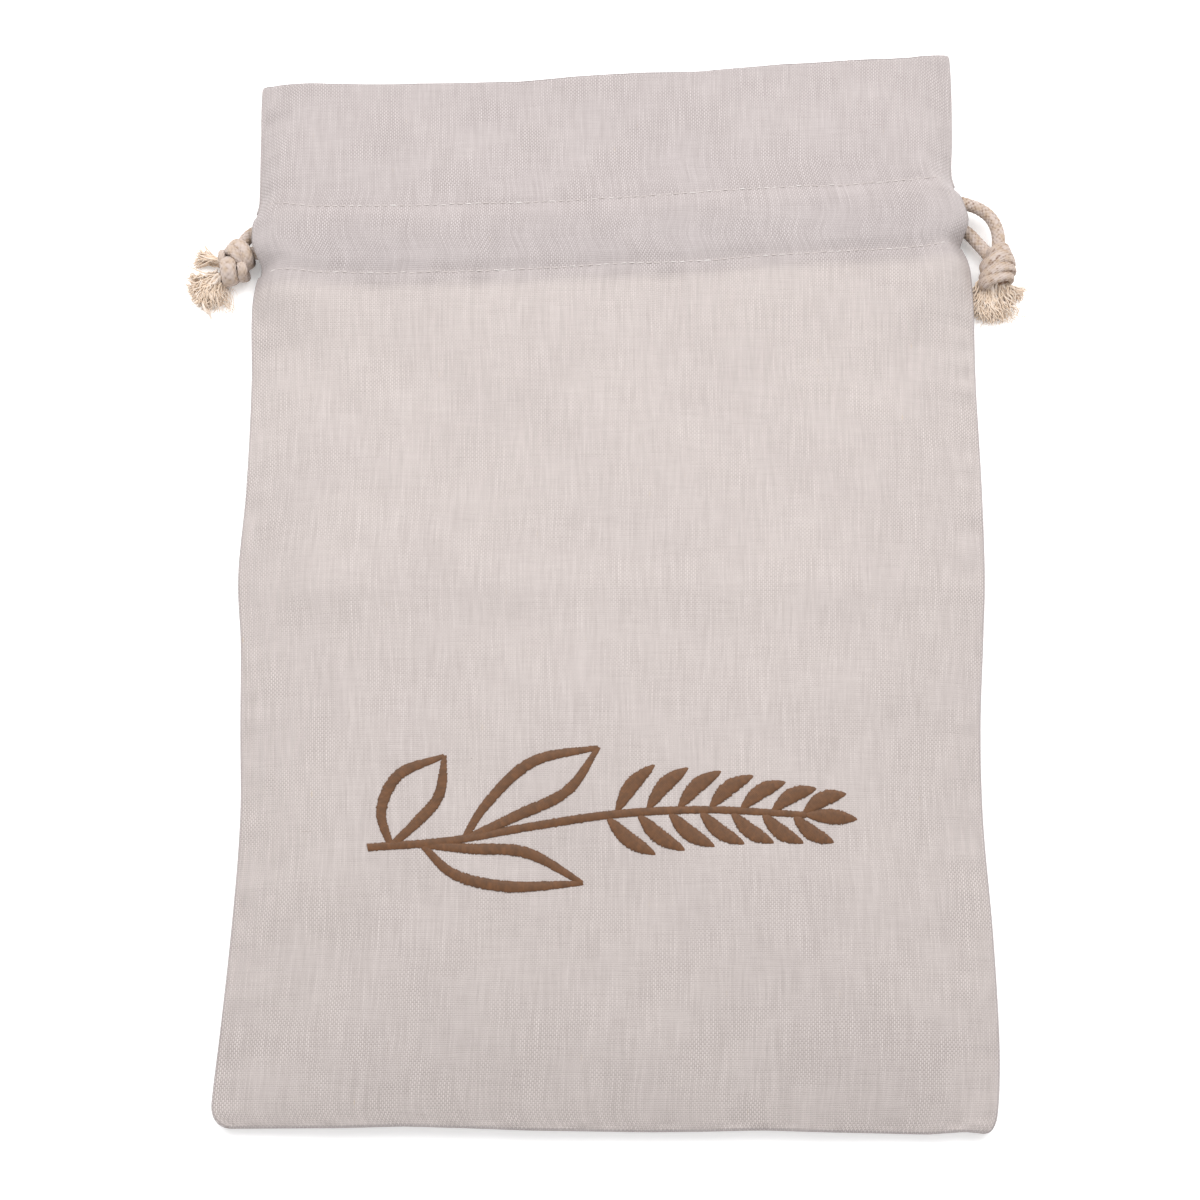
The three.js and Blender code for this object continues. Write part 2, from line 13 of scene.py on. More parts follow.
import bpy
import numpy as np
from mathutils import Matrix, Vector


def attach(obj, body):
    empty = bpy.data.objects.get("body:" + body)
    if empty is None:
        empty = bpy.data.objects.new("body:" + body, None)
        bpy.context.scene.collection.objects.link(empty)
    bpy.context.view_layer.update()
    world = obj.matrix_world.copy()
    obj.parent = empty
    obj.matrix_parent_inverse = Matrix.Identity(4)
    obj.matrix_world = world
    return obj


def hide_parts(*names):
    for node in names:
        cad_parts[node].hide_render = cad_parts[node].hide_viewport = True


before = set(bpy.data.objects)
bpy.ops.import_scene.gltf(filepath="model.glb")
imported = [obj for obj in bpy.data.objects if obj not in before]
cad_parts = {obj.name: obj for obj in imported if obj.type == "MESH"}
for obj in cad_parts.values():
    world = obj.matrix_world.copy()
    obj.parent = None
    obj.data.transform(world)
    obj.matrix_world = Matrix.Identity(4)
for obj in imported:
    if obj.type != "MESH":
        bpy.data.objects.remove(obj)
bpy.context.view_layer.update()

Array = np.ndarray
Colour = tuple[float, float, float, float]
MM = 0.001
BODY = "root"
UP = np.array([0.0, 0.0, 1.0])
WHITE = (1.0, 1.0, 1.0, 1.0)
LOG = logging.getLogger("bread_bag")


# ---------------------------------------------------------------------------- tables of the bag


class Side(Enum):
    """The two long sides of the bag, by the sign of X."""

    LEFT = -1
    RIGHT = 1


class Layer(Enum):
    """The two panels, by the way their seam allowance and hem are folded: down or up."""

    FRONT = -1
    BACK = 1


class SideBend(NamedTuple):
    """X of the left and of the right side at a Y."""

    y: float
    left: float
    right: float


class CrownRow(NamedTuple):
    """Height of the front cloth at a Y, and how far in from the side it still falls."""

    y: float
    height: float
    roll: float


class SoftFold(NamedTuple):
    """A fold along a line: its half width and its height, less than zero for a trough."""

    x0: float
    y0: float
    x1: float
    y1: float
    half: float
    height: float


class Corner(NamedTuple):
    """Size of a rounded corner, a quarter of an ellipse."""

    width: float
    height: float


@dataclass(frozen=True)
class CrossLine:
    """A line across the bag: Y at the left side (u = -1), Y at the right (u = 1), and the sag.

    bends: pairs of a u and of how far the line strays there towards the mouth.
    """

    left: float
    right: float
    sag: float
    bends: tuple[tuple[float, float], ...]

    def y(self, u: Array) -> Array:
        """Y at u: straight from left to right, less sag * (1 - u^2), plus the bends."""
        straight = self.left + (self.right - self.left) * (u + 1) / 2
        places, strays = zip(*self.bends)
        return straight - self.sag * (1 - u**2) + np.interp(u, places, strays)


BOTTOM = CrossLine(-224.0, -225.8, -0.8, (
    (-1.0, 0.0), (-0.7, 0.1), (-0.53, 0.7), (-0.38, 0.1), (-0.22, -0.7), (0.1, -1.1), (0.25, -0.7),
    (0.4, 0.0), (0.56, -0.4), (0.85, -0.7), (0.94, 0.5), (1.0, -0.1),
))
LOWER_STITCH = CrossLine(121.6, 134.8, 2.6, (
    (-1.0, 2.0), (-0.95, 1.4), (-0.83, -1.0), (-0.6, -2.5), (-0.36, -3.1), (-0.16, -2.6),
    (0.04, -1.7), (0.27, -1.7), (0.4, -1.2), (0.56, -1.0), (0.73, -1.6), (0.85, -1.4), (0.92, -0.4),
    (1.0, 1.8),
))
UPPER_STITCH = CrossLine(151.4, 165.0, 2.4, (
    (-1.0, 1.6), (-0.95, 1.0), (-0.83, -1.1), (-0.68, -2.1), (-0.52, -2.8), (-0.3, -3.0),
    (0.0, -1.7), (0.27, -0.7), (0.5, -0.9), (0.65, -2.0), (0.79, -1.3), (0.92, -0.3), (1.0, 0.6),
))
MOUTH = CrossLine(212.0, 226.0, 6.2, (
    (-1.0, 1.0), (-0.9, -0.8), (-0.8, -2.3), (-0.7, -2.4), (-0.55, -1.7), (-0.4, -1.8),
    (-0.25, -1.2), (-0.1, 0.4), (0.1, 0.9), (0.27, -0.5), (0.5, 0.6), (0.7, -0.1), (0.82, -0.9),
    (0.88, -0.4), (0.93, 0.9), (1.0, 2.4),
))

BOTTOM_CORNERS = {Side.LEFT: Corner(7.2, 8.6), Side.RIGHT: Corner(3.6, 6.6)}
MOUTH_CORNER = Corner(1.6, 1.6)

SIDE_BENDS = tuple(SideBend(*row) for row in (
    (-228, -151.9, 144.2), (-212, -151.2, 146.6), (-190, -149.5, 147.7), (-150, -146.9, 147.2),
    (-107, -145.4, 145.5), (-70, -147.0, 146.3), (-34, -148.5, 149.1), (-8, -150.7, 151.0),
    (30, -149.1, 151.6), (75, -148.9, 151.3), (108, -150.2, 151.9), (120, -149.2, 151.8),
    (127, -147.5, 151.4), (132, -149.6, 150.4), (137, -151.3, 148.4), (141, -151.4, 149.5),
    (146, -151.2, 151.2), (151, -150.7, 150.8), (157, -149.3, 148.9), (164, -149.3, 147.1),
    (171, -149.4, 145.5), (188, -149.8, 146.4), (212, -150.2, 147.1), (230, -148.9, 147.0),
))

CROWN = tuple(CrownRow(*row) for row in (
    (-228, 5.4, 60), (-214, 9.6, 60), (-195, 13.4, 62), (-165, 16.4, 66), (-120, 18.4, 70),
    (-75, 18.8, 70), (-32, 17.2, 66), (-15, 17.8, 62), (2, 17.0, 64), (45, 16.2, 64),
    (85, 16.6, 48), (112, 18.0, 22), (128, 18.5, 15), (165, 18.2, 15), (198, 16.0, 34),
    (230, 14.5, 42),
))

SOFT_FOLDS = tuple(SoftFold(*row) for row in (
    (-150, -205, -78, -140, 13, -1.6), (132, -150, 120, -75, 15, -1.5), (-54, 8, -50, -50, 9, -0.9),
    (-16, -122, -8, -172, 9, -1.0), (-151, 108, -108, 62, 9, -1.3), (151, 118, 112, 74, 9, -1.3),
    (-96, 118, -90, 72, 6, -0.9), (-38, 118, -36, 84, 6, -0.8), (22, 120, 24, 80, 6, -0.8),
    (78, 124, 72, 82, 7, -0.9),
))

# Creases that run slantwise from the casing's ends into the flap.
CASING_CREASES = tuple(SoftFold(*row) for row in (
    (-141, 172, -152, 156, 3.0, -0.7), (-133, 170, -144, 150, 4.0, 0.4),
    (129, 165.0, 137, 160.5, 1.5, -0.9), (136, 163.5, 149, 158.0, 2.2, 0.6),
))


# ---------------------------------------------------------------------------- formulas


def smooth(t: Array) -> Array:
    """0 to 1 with level ends: 3 t^2 - 2 t^3 with t held between 0 and 1."""
    s = np.clip(t, 0, 1)
    return s * s * (3 - 2 * s)


def column_at(rows: tuple, name: str, y: Array) -> Array:
    """A column of a table on a smooth curve through the table's rows.

    Each span is a cubic whose end slopes are those of the line from the row before to the row
    after.

    Args:
        rows: the table, in order of Y.
        name: the column's name.
        y: where to read it.

    Returns:
        The column's value at each y.
    """
    table_y = np.array([row.y for row in rows], float)
    value = np.array([getattr(row, name) for row in rows], float)
    first = np.clip(np.searchsorted(table_y, y, side="right") - 1, 0, len(rows) - 2)
    wide_y = np.pad(table_y, 1, mode="edge")
    wide_value = np.pad(value, 1, mode="edge")
    slope = (wide_value[2:] - wide_value[:-2]) / (wide_y[2:] - wide_y[:-2])
    span = table_y[first + 1] - table_y[first]
    rise = value[first + 1] - value[first]
    t = np.clip((y - table_y[first]) / span, 0, 1)
    bend = (1 - t) * (slope[first] * span - rise) + t * (rise - slope[first + 1] * span)
    return value[first] + t * rise + t * (1 - t) * bend


class Swell(NamedTuple):
    """A smooth random swell of the cloth.

    height: about how high its waves are; length: their mean length; seed: picks them; spread: how
    far they may turn away from running along the first axis, in radians.
    """

    height: float
    length: float
    seed: int
    spread: float = np.pi

    def at(self, x: Array, y: Array) -> Array:
        """The height at each place: the sum of nine plane waves of like length."""
        rng = np.random.default_rng(self.seed)
        count = 9
        turn = rng.uniform(-self.spread, self.spread, count)
        number = 2 * np.pi / (self.length * rng.uniform(0.7, 1.5, count))
        phase = rng.uniform(0, 2 * np.pi, count)
        run = x[..., None] * np.cos(turn) + y[..., None] * np.sin(turn)
        return self.height * (np.sin(run * number + phase).sum(-1) * np.sqrt(2 / count))


CLOTH_SWELLS = (Swell(0.45, 95, 11), Swell(0.12, 34, 12))
GATHERS = (Swell(0.34, 26, 13, 0.12), Swell(0.12, 11, 14, 0.1))
ROW_PUCKERS = ((LOWER_STITCH, Swell(0.16, 9, 15, 0.1)), (UPPER_STITCH, Swell(0.16, 9, 16, 0.1)))
SIDE_PUCKER = Swell(0.55, 15, 17, 0.15)
FOOT_PUCKER = Swell(0.5, 17, 18, 0.15)


def fold_height(x: Array, y: Array, folds: tuple) -> Array:
    """Sum of soft folds: height * exp(-(distance from the fold's line / half width)^2)."""
    total = np.zeros(np.broadcast(x, y).shape)
    for fold in folds:
        along = np.array([fold.x1 - fold.x0, fold.y1 - fold.y0])
        reach = np.hypot(*along)
        run = ((x - fold.x0) * along[0] + (y - fold.y0) * along[1]) / reach
        aside = ((x - fold.x0) * along[1] - (y - fold.y0) * along[0]) / reach
        beyond = np.maximum(0, np.maximum(-run, run - reach))
        total = total + fold.height * np.exp(-(aside**2 + beyond**2) / fold.half**2)
    return total


def roll_share(distance: Array, roll: Array, power: float) -> Array:
    """1 inside the roll distance, falling faster and faster to 0 at the side.

    It is 1 - (1 - d / roll)^power.
    """
    return 1 - (1 - np.clip(distance / roll, 0, 1)) ** power


@dataclass(frozen=True)
class BagShape:
    """The outline of the bag and the height of every layer of its cloth.

    Places are given by u, which runs from -1 at the left side to 1 at the right, and by Y. A
    layer's height is that of its middle over the floor.

    seam_fold: radius of the cloth's turned edges; front_rim: the front panel at its sides;
    hem_step: from a layer to the hem behind it; neck_roof: the front hem over the way in, where it
    dips under the cords; channel: from layer to layer round a cord; casing_rim and casing_roll: the
    casing at its ends, and how far in it still rises; channel_flat: share of the casing's height
    that stays level, each way from its middle; end_flat: share of that left at the casing's ends,
    and end_reach: how far in it is less; hem_inset and channel_inset: how far the hem keeps from
    the sides, and in the casing; hem_start: where the hem begins to lift the front, under the lower
    stitch row; ripples: height, waves and phase of the flap's ripples, about ripple_mean; the
    other names ending in fade are distances over which a relief dies away, and those ending in
    start, over which it begins.
    """

    half_width: float = 150.0
    seam_fold: float = 0.9
    back_layer: float = 0.5
    front_rim: float = 5.4
    hem_step: float = 1.6
    neck_roof: float = 12.9
    channel: float = 6.6
    casing_rim: float = 12.2
    casing_roll: float = 15.0
    roll_power: float = 2.2
    channel_flat: float = 0.29
    end_flat: float = 0.7
    end_reach: float = 22.0
    hem_inset: float = 9.0
    channel_inset: float = 25.0
    hem_start: float = 8.0
    ripple_roll: float = 30.0
    ripple_mean: float = 0.5
    ripples: tuple[tuple[float, float, float], ...] = ((0.3, 9.5, 0.6), (0.2, 17.0, 2.1))
    gather_fade: float = 26.0
    gather_start: float = 5.0
    row_groove: float = 0.22
    row_groove_half: float = 1.9
    row_pucker_fade: float = 4.0
    crease_y: float = -15.0
    crease_slant: float = 1.6
    crease_height: float = 0.3
    crease_fade: float = 2.2
    seam_pucker_fade: float = 7.0
    seam_pucker_start: float = 3.0

    def side_x(self, side: Side, y: Array, inset: float) -> Array:
        """X of one side at Y, drawn in by the inset.

        A corner draws it in further, by w (1 - sqrt(1 - r^2)), where w is the corner's width and r
        goes from 0 where the corner starts to 1 at its end. Width and height are less the inset.
        """
        drawn = np.full(np.shape(y), inset)
        for corner, distance in (
            (BOTTOM_CORNERS[side], y - BOTTOM.y(side.value)),
            (MOUTH_CORNER, MOUTH.y(side.value) - y),
        ):
            reach = np.clip((corner.height - distance) / (corner.height - inset), 0, 1)
            drawn = drawn + (corner.width - inset) * (1 - np.sqrt(1 - reach**2))
        return column_at(SIDE_BENDS, side.name.lower(), y) - side.value * drawn

    def plan_x(self, u: Array, y: Array, inset: float) -> Array:
        """X of a place, the sides drawn in by inset."""
        left = self.side_x(Side.LEFT, y, inset)
        right = self.side_x(Side.RIGHT, y, inset)
        return left + (right - left) * (u + 1) / 2

    def across(self, x: Array, y: Array) -> Array:
        """u of a place, the way back from plan_x."""
        left = self.side_x(Side.LEFT, y, self.seam_fold)
        right = self.side_x(Side.RIGHT, y, self.seam_fold)
        return 2 * (x - left) / (right - left) - 1

    def from_side(self, u: Array) -> Array:
        """Distance in from the nearer side."""
        return (1 - np.abs(u)) * self.half_width

    def channel_open(self, u: Array, y: Array) -> Array:
        """How far the casing is open: 0 at both stitch rows, 1 over the cords between them."""
        low = LOWER_STITCH.y(u)
        t = (y - low) / (UPPER_STITCH.y(u) - low)
        flat = self.end_flat + (1 - self.end_flat) * smooth(self.from_side(u) / self.end_reach)
        return smooth((0.5 - np.abs(t - 0.5)) / (0.5 - self.channel_flat * flat))

    def front_base(self, u: Array, y: Array) -> Array:
        """Height of the front cloth without casing, folds or ripples."""
        height = column_at(CROWN, "height", y)
        share = roll_share(self.from_side(u), column_at(CROWN, "roll", y), self.roll_power)
        return self.front_rim + np.maximum(0, height - self.front_rim) * share

    def front_height(self, u: Array, y: Array) -> Array:
        """Height of the front panel's outer layer, with all its relief.

        It goes from the base to the casing's crest as far as the casing is open, and the relief
        and the flap's ripples are added, fading at the sides.

        Args:
            u: places across the bag.
            y: their Y.

        Returns:
            The height of mid cloth at each place.
        """
        x = self.plan_x(u, y, self.seam_fold)
        base = self.front_base(u, y)
        over_stitch = smooth((y - LOWER_STITCH.y(u) + self.hem_start) / self.hem_start)
        crest_rise = self.neck_roof + self.channel - self.casing_rim
        crest = self.casing_rim + crest_rise * roll_share(
            self.from_side(u), self.casing_roll, self.roll_power
        )
        share = roll_share(self.from_side(u), self.ripple_roll, 2)
        waves = sum(high * np.sin(count * u + start) for high, count, start in self.ripples)
        folds = fold_height(x, y, SOFT_FOLDS) * (1 - over_stitch)
        relief = (self.ripple_mean + waves) * over_stitch + folds + self.relief(x, y, u)
        opened = self.channel_open(u, y)
        return base + (crest - base) * opened + share * relief + self.edge_pucker(x, y, u)

    def relief(self, x: Array, y: Array, u: Array) -> Array:
        """Small relief of cloth that has been folded, sewn and laid down.

        The sum of a broad swell, a finer one, gathers that fade below the casing, puckers and a
        groove at both stitch rows, the ridge of a storage crease, and creases at the casing's ends.

        Args:
            x: places in plan, X.
            y: the same, Y.
            u: the same places across the bag.

        Returns:
            The height of the relief.
        """
        total = sum(swell.at(x, y) for swell in CLOTH_SWELLS)
        below = LOWER_STITCH.y(u) - y
        gather = np.exp(-np.maximum(below, 0) / self.gather_fade)
        gather = gather * smooth(below / self.gather_start)
        total = total + gather * sum(swell.at(x, y) for swell in GATHERS)
        for line, pucker in ROW_PUCKERS:
            off = y - line.y(u)
            total = total - self.row_groove * np.exp(-((off / self.row_groove_half) ** 2))
            total = total + pucker.at(x, y) * np.exp(-np.abs(off) / self.row_pucker_fade)
        off = np.abs(y - self.crease_y - self.crease_slant * u)
        total = total + self.crease_height * np.exp(-off / self.crease_fade)
        return total + fold_height(x, y, CASING_CREASES)

    def edge_pucker(self, x: Array, y: Array, u: Array) -> Array:
        """Puckers that the side and bottom seams draw into the cloth, fading inwards."""
        fade, start = self.seam_pucker_fade, self.seam_pucker_start
        inward = self.from_side(u)
        foot = y - BOTTOM.y(u)
        side = np.exp(-inward / fade) * smooth(inward / start) * SIDE_PUCKER.at(y, x)
        return side + np.exp(-foot / fade) * smooth(foot / start) * FOOT_PUCKER.at(x, y)

    def front_hem_height(self, u: Array, y: Array) -> Array:
        """The front panel's hem, under its outer layer; it dips under the cords."""
        hem = self.front_base(u, y) - self.hem_step
        return hem - np.maximum(0, hem - self.neck_roof) * self.channel_open(u, y)

    def back_height(self, u: Array, y: Array) -> Array:
        """The back panel's outer layer, level on the floor."""
        return np.full(np.broadcast(u, y).shape, self.back_layer)

    def back_hem_height(self, u: Array, y: Array) -> Array:
        """The back panel's hem, over its outer layer, rising over the cords."""
        rise = (self.channel - self.hem_step) * self.channel_open(u, y)
        return self.back_layer + self.hem_step + rise

    def front_at(self, x: Array, y: Array) -> Array:
        """Height of the front panel's outer layer at a place in plan."""
        return self.front_height(self.across(x, y), y)


SHAPE = BagShape()


def round_angles(count: int) -> Array:
    """Even angles once round a ring."""
    return np.linspace(0, 2 * np.pi, count + 1)[:-1]


# ---------------------------------------------------------------------------- meshes


def grid_faces(first: Array) -> Array:
    """Four-sided faces over a grid of point numbers.

    They face the side from which the grid reads anticlockwise: along a row, then up to the next.

    Args:
        first: the point numbers, a row for each line of the grid.

    Returns:
        An array with a row of four point numbers for each face.
    """
    corners = (first[:-1, :-1], first[:-1, 1:], first[1:, 1:], first[1:, :-1])
    return np.stack([c.ravel() for c in corners], axis=1)


def new_object(name: str, data: bpy.types.ID) -> bpy.types.Object:
    """An object that holds the data, in the scene's collection."""
    made = bpy.data.objects.new(name, data)
    bpy.context.scene.collection.objects.link(made)
    return made


def new_piece(name: str, points: Array, faces: list, **layers: Array) -> bpy.types.Object:
    """A mesh object at the origin, from points in millimetres.

    Args:
        name: the piece's name.
        points: one row of X, Y and Z for each point.
        faces: arrays of faces, a row of point numbers for each face.
        layers: values for each point; the layer named flat has two columns, in metres, and
            becomes the UV map.

    Returns:
        The new object, in the scene's collection.
    """
    mesh = bpy.data.meshes.new(name)
    polygons = [face for block in faces for face in block.tolist()]
    mesh.from_pydata((points * MM).tolist(), [], polygons)
    mesh.polygons.foreach_set("use_smooth", np.ones(len(mesh.polygons), bool))
    for key, values in layers.items():
        if key == "flat":
            corner = np.empty(len(mesh.loops), np.int32)
            mesh.loops.foreach_get("vertex_index", corner)
            layer = mesh.uv_layers.new(name=key)
            layer.data.foreach_set("uv", values[corner].astype(np.float32).ravel())
        else:
            layer = mesh.attributes.new(key, "FLOAT", "POINT")
            layer.data.foreach_set("value", values.astype(np.float32).ravel())
    mesh.update()
    return new_object(name, mesh)


def finish_piece(
    piece: bpy.types.Object, slot: str, finish: bpy.types.Material, *nodes: str
) -> None:
    """Gives a piece its body and material.

    Args:
        piece: the piece.
        slot: not used.
        finish: its material.
        nodes: the CAD nodes that it stands for.
    """
    piece.data.materials.append(finish)
    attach(piece, BODY)
    if nodes:
        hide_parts(*nodes)
    LOG.info("made %s", piece.name)


def smooth_route(points: Array, per_span: int = 24) -> Array:
    """A smooth curve through given points.

    Between two points it is the cubic whose end slopes come from the neighbours, each span counted
    as long as the square root of its real length (a centripetal Catmull-Rom curve).

    Args:
        points: one row for each point.
        per_span: how many places are worked out in each span.

    Returns:
        The places on the curve, one in each row.
    """
    ends = np.vstack([2 * points[0] - points[1], points, 2 * points[-1] - points[-2]])
    before, start, end, after = ends[:-3], ends[1:-2], ends[2:-1], ends[3:]
    span = np.sqrt(np.linalg.norm(np.diff(ends, axis=0), axis=1))[:, None]
    d0, d1, d2 = span[:-2], span[1:-1], span[2:]
    slope_a = d1 * ((start - before) / d0 - (end - before) / (d0 + d1) + (end - start) / d1)
    slope_b = d1 * ((end - start) / d1 - (after - start) / (d1 + d2) + (after - end) / d2)
    t = (np.arange(per_span) / per_span)[None, :, None]
    curve = (
        start[:, None] * (2 * t**3 - 3 * t**2 + 1)
        + slope_a[:, None] * (t**3 - 2 * t**2 + t)
        + end[:, None] * (3 * t**2 - 2 * t**3)
        + slope_b[:, None] * (t**3 - t**2)
    )
    return np.vstack([curve.reshape(-1, points.shape[1]), points[-1:]])


def arc_lengths(route: Array) -> Array:
    """Distance along a route at each of its points."""
    return np.concatenate([[0.0], np.cumsum(np.linalg.norm(np.diff(route, axis=0), axis=1))])


def along(route: Array, stations: Array) -> Array:
    """Places on a route at given distances along it."""
    run = arc_lengths(route)
    return np.stack([np.interp(stations, run, route[:, k]) for k in range(route.shape[1])], axis=-1)


def unit(v: Array) -> Array:
    """Vectors at length 1."""
    return v / np.linalg.norm(v, axis=-1, keepdims=True)


@dataclass(frozen=True)
class TubeMesh:
    """Points of one or more tubes or bars, and their faces by these points' own numbers."""

    points: Array
    faces: list

    def __len__(self) -> int:
        """How many points there are."""
        return len(self.points)


def tubes(paths: Array, across: Array, up: Array, top: Array, closed: bool = False) -> TubeMesh:
    """Skins of tubes along paths, with a pole at each end, or closed on themselves.

    At each station the ring's points are path + side * across + rise * up, where side is square
    to the path and to top, and rise is square to the path and to side.

    Args:
        paths: tubes by stations by X, Y, Z.
        across: tubes by stations by ring points, the offset to the side.
        up: the same, the offset towards top.
        top: the direction that the rings keep towards.
        closed: whether each path ends where it starts, its last station one step before its first.

    Returns:
        The tubes' points and faces.
    """
    count, stations, ring = across.shape
    if closed:
        tangent = unit(np.roll(paths, -1, axis=1) - np.roll(paths, 1, axis=1))
    else:
        tangent = unit(np.gradient(paths, axis=1))
    side = unit(np.cross(top, tangent))
    rise = np.cross(tangent, side)
    skin = paths[:, :, None] + side[:, :, None] * across[..., None]
    skin = (skin + rise[:, :, None] * up[..., None]).reshape(count, -1, 3)
    own = np.arange(stations * ring).reshape(stations, ring)
    first = np.arange(count)[:, None, None] * (own.size + (0 if closed else 2)) + own
    wrapped = np.concatenate([first, first[:, :, :1]], axis=2)
    if closed:
        wrapped = np.concatenate([wrapped, wrapped[:, :1]], axis=1)
        quads = np.concatenate([grid_faces(tube) for tube in wrapped])
        return TubeMesh(skin.reshape(-1, 3), [quads])
    points = np.concatenate([skin, paths[:, [0, -1]]], axis=1).reshape(-1, 3)
    quads = np.concatenate([grid_faces(tube) for tube in wrapped])
    start = np.broadcast_to(first[:, :1, 0] + own.size, (count, ring))
    end = start + 1
    head = np.stack([start, wrapped[:, 0, 1:], wrapped[:, 0, :-1]], axis=-1).reshape(-1, 3)
    tail = np.stack([end, wrapped[:, -1, :-1], wrapped[:, -1, 1:]], axis=-1).reshape(-1, 3)
    return TubeMesh(points, [quads, head, tail])


def with_poles(values: Array, start: Array, end: Array) -> Array:
    """Values for each point of open tubes(): the ring values, then the two poles of each tube."""
    rings = values.reshape(len(values), -1)
    return np.concatenate([rings, start[:, None], end[:, None]], axis=1).ravel()


class ThreadMesh:
    """The mesh of a piece of thread or cord, gathered block by block.

    Every point has a flat place for the fibres, a groove mask of painted shade and a lot, the mask
    of its tint.
    """

    def __init__(self) -> None:
        """Starts empty."""
        self.blocks: list[tuple] = []
        self.faces: list[Array] = []
        self.count = 0

    def add(self, block: TubeMesh, flat: Array, groove: Array, lot: Array | None = None) -> None:
        """Adds a block.

        Args:
            block: its points and faces.
            flat: for each point its place along the fibres and across them, in millimetres.
            groove: for each point how much painted shade it gets, for lying deep between fibres or
                strands, in a hollow or near the floor.
            lot: for each point how far it goes to the warm tint, or None for not at all.
        """
        lot = np.zeros(len(block)) if lot is None else lot
        self.blocks.append((block.points, flat, groove, lot))
        self.faces += [faces + self.count for faces in block.faces]
        self.count += len(block)

    def piece(
        self, name: str, slot: str, finish: bpy.types.Material, *nodes: str
    ) -> bpy.types.Object:
        """Makes the piece, with finish_piece()'s arguments, and returns it."""
        points, flat, groove, lot = (np.concatenate(column) for column in zip(*self.blocks))
        piece = new_piece(name, points, self.faces, flat=flat * MM, groove=groove, lot=lot)
        finish_piece(piece, slot, finish, *nodes)
        return piece


# ---------------------------------------------------------------------------- shader groups


class NodeGraph:
    """A node tree with short ways to add nodes and join them."""

    def __init__(self, tree: bpy.types.NodeTree) -> None:
        """Takes the tree to add to."""
        self.tree = tree

    def add(self, kind: str, inputs: dict | None = None, **settings: object) -> bpy.types.Node:
        """A new node.

        Args:
            kind: the node's type, without the leading ShaderNode.
            inputs: values or sockets for its inputs, by name or number.
            settings: the node's own settings.

        Returns:
            The node.
        """
        node = self.tree.nodes.new("ShaderNode" + kind)
        for name, value in settings.items():
            setattr(node, name, value)
        for key, value in (inputs or {}).items():
            if isinstance(value, bpy.types.NodeSocket):
                self.tree.links.new(value, node.inputs[key])
            else:
                node.inputs[key].default_value = value
        return node

    def math(self, operation: str, *values: object) -> bpy.types.NodeSocket:
        """The result of a Math node."""
        return self.add("Math", dict(enumerate(values)), operation=operation).outputs[0]

    def times(self, a: object, b: object) -> bpy.types.NodeSocket:
        """a * b."""
        return self.math("MULTIPLY", a, b)

    def times_plus(self, a: object, b: object, c: object) -> bpy.types.NodeSocket:
        """a * b + c."""
        return self.math("MULTIPLY_ADD", a, b, c)

    def mask(self, name: str) -> bpy.types.NodeSocket:
        """A mask that the piece's points carry."""
        return self.add("Attribute", attribute_name=name).outputs["Fac"]

    def mix(
        self, factor: object, a: object, b: object, blend: str = "MIX"
    ) -> bpy.types.NodeSocket:
        """The result of mixing two colours."""
        inputs = {0: factor, 6: a, 7: b}
        return self.add("Mix", inputs, data_type="RGBA", blend_type=blend).outputs[2]

    def ramp(self, value: object, low: float, high: float) -> bpy.types.NodeSocket:
        """0 at low to 1 at high, with level ends."""
        inputs = {"Value": value, "From Min": low, "From Max": high}
        return self.add("MapRange", inputs, interpolation_type="SMOOTHSTEP").outputs[0]

    def point(self, x: object, y: object, z: object = 0.0) -> bpy.types.NodeSocket:
        """A vector from its three numbers."""
        return self.add("CombineXYZ", {0: x, 1: y, 2: z}).outputs[0]

    def noise(self, vector: object, scale: float, detail: float = 2.0) -> bpy.types.NodeSocket:
        """Smooth noise about one half."""
        return self.add("TexNoise", {"Vector": vector, "Scale": scale, "Detail": detail}).outputs[0]


def new_group(
    name: str, inputs: dict[str, str], outputs: dict[str, str]
) -> tuple[NodeGraph, bpy.types.Node, bpy.types.Node]:
    """An empty shader node group.

    Args:
        name: the group's name.
        inputs: for each input its name and kind, which is Float, Color or Vector.
        outputs: the same for the outputs.

    Returns:
        The group's graph, its input node and its output node.
    """
    tree = bpy.data.node_groups.new(name, "ShaderNodeTree")
    for way, sockets in (("INPUT", inputs), ("OUTPUT", outputs)):
        for label, kind in sockets.items():
            tree.interface.new_socket(label, in_out=way, socket_type="NodeSocket" + kind)
    return NodeGraph(tree), tree.nodes.new("NodeGroupInput"), tree.nodes.new("NodeGroupOutput")


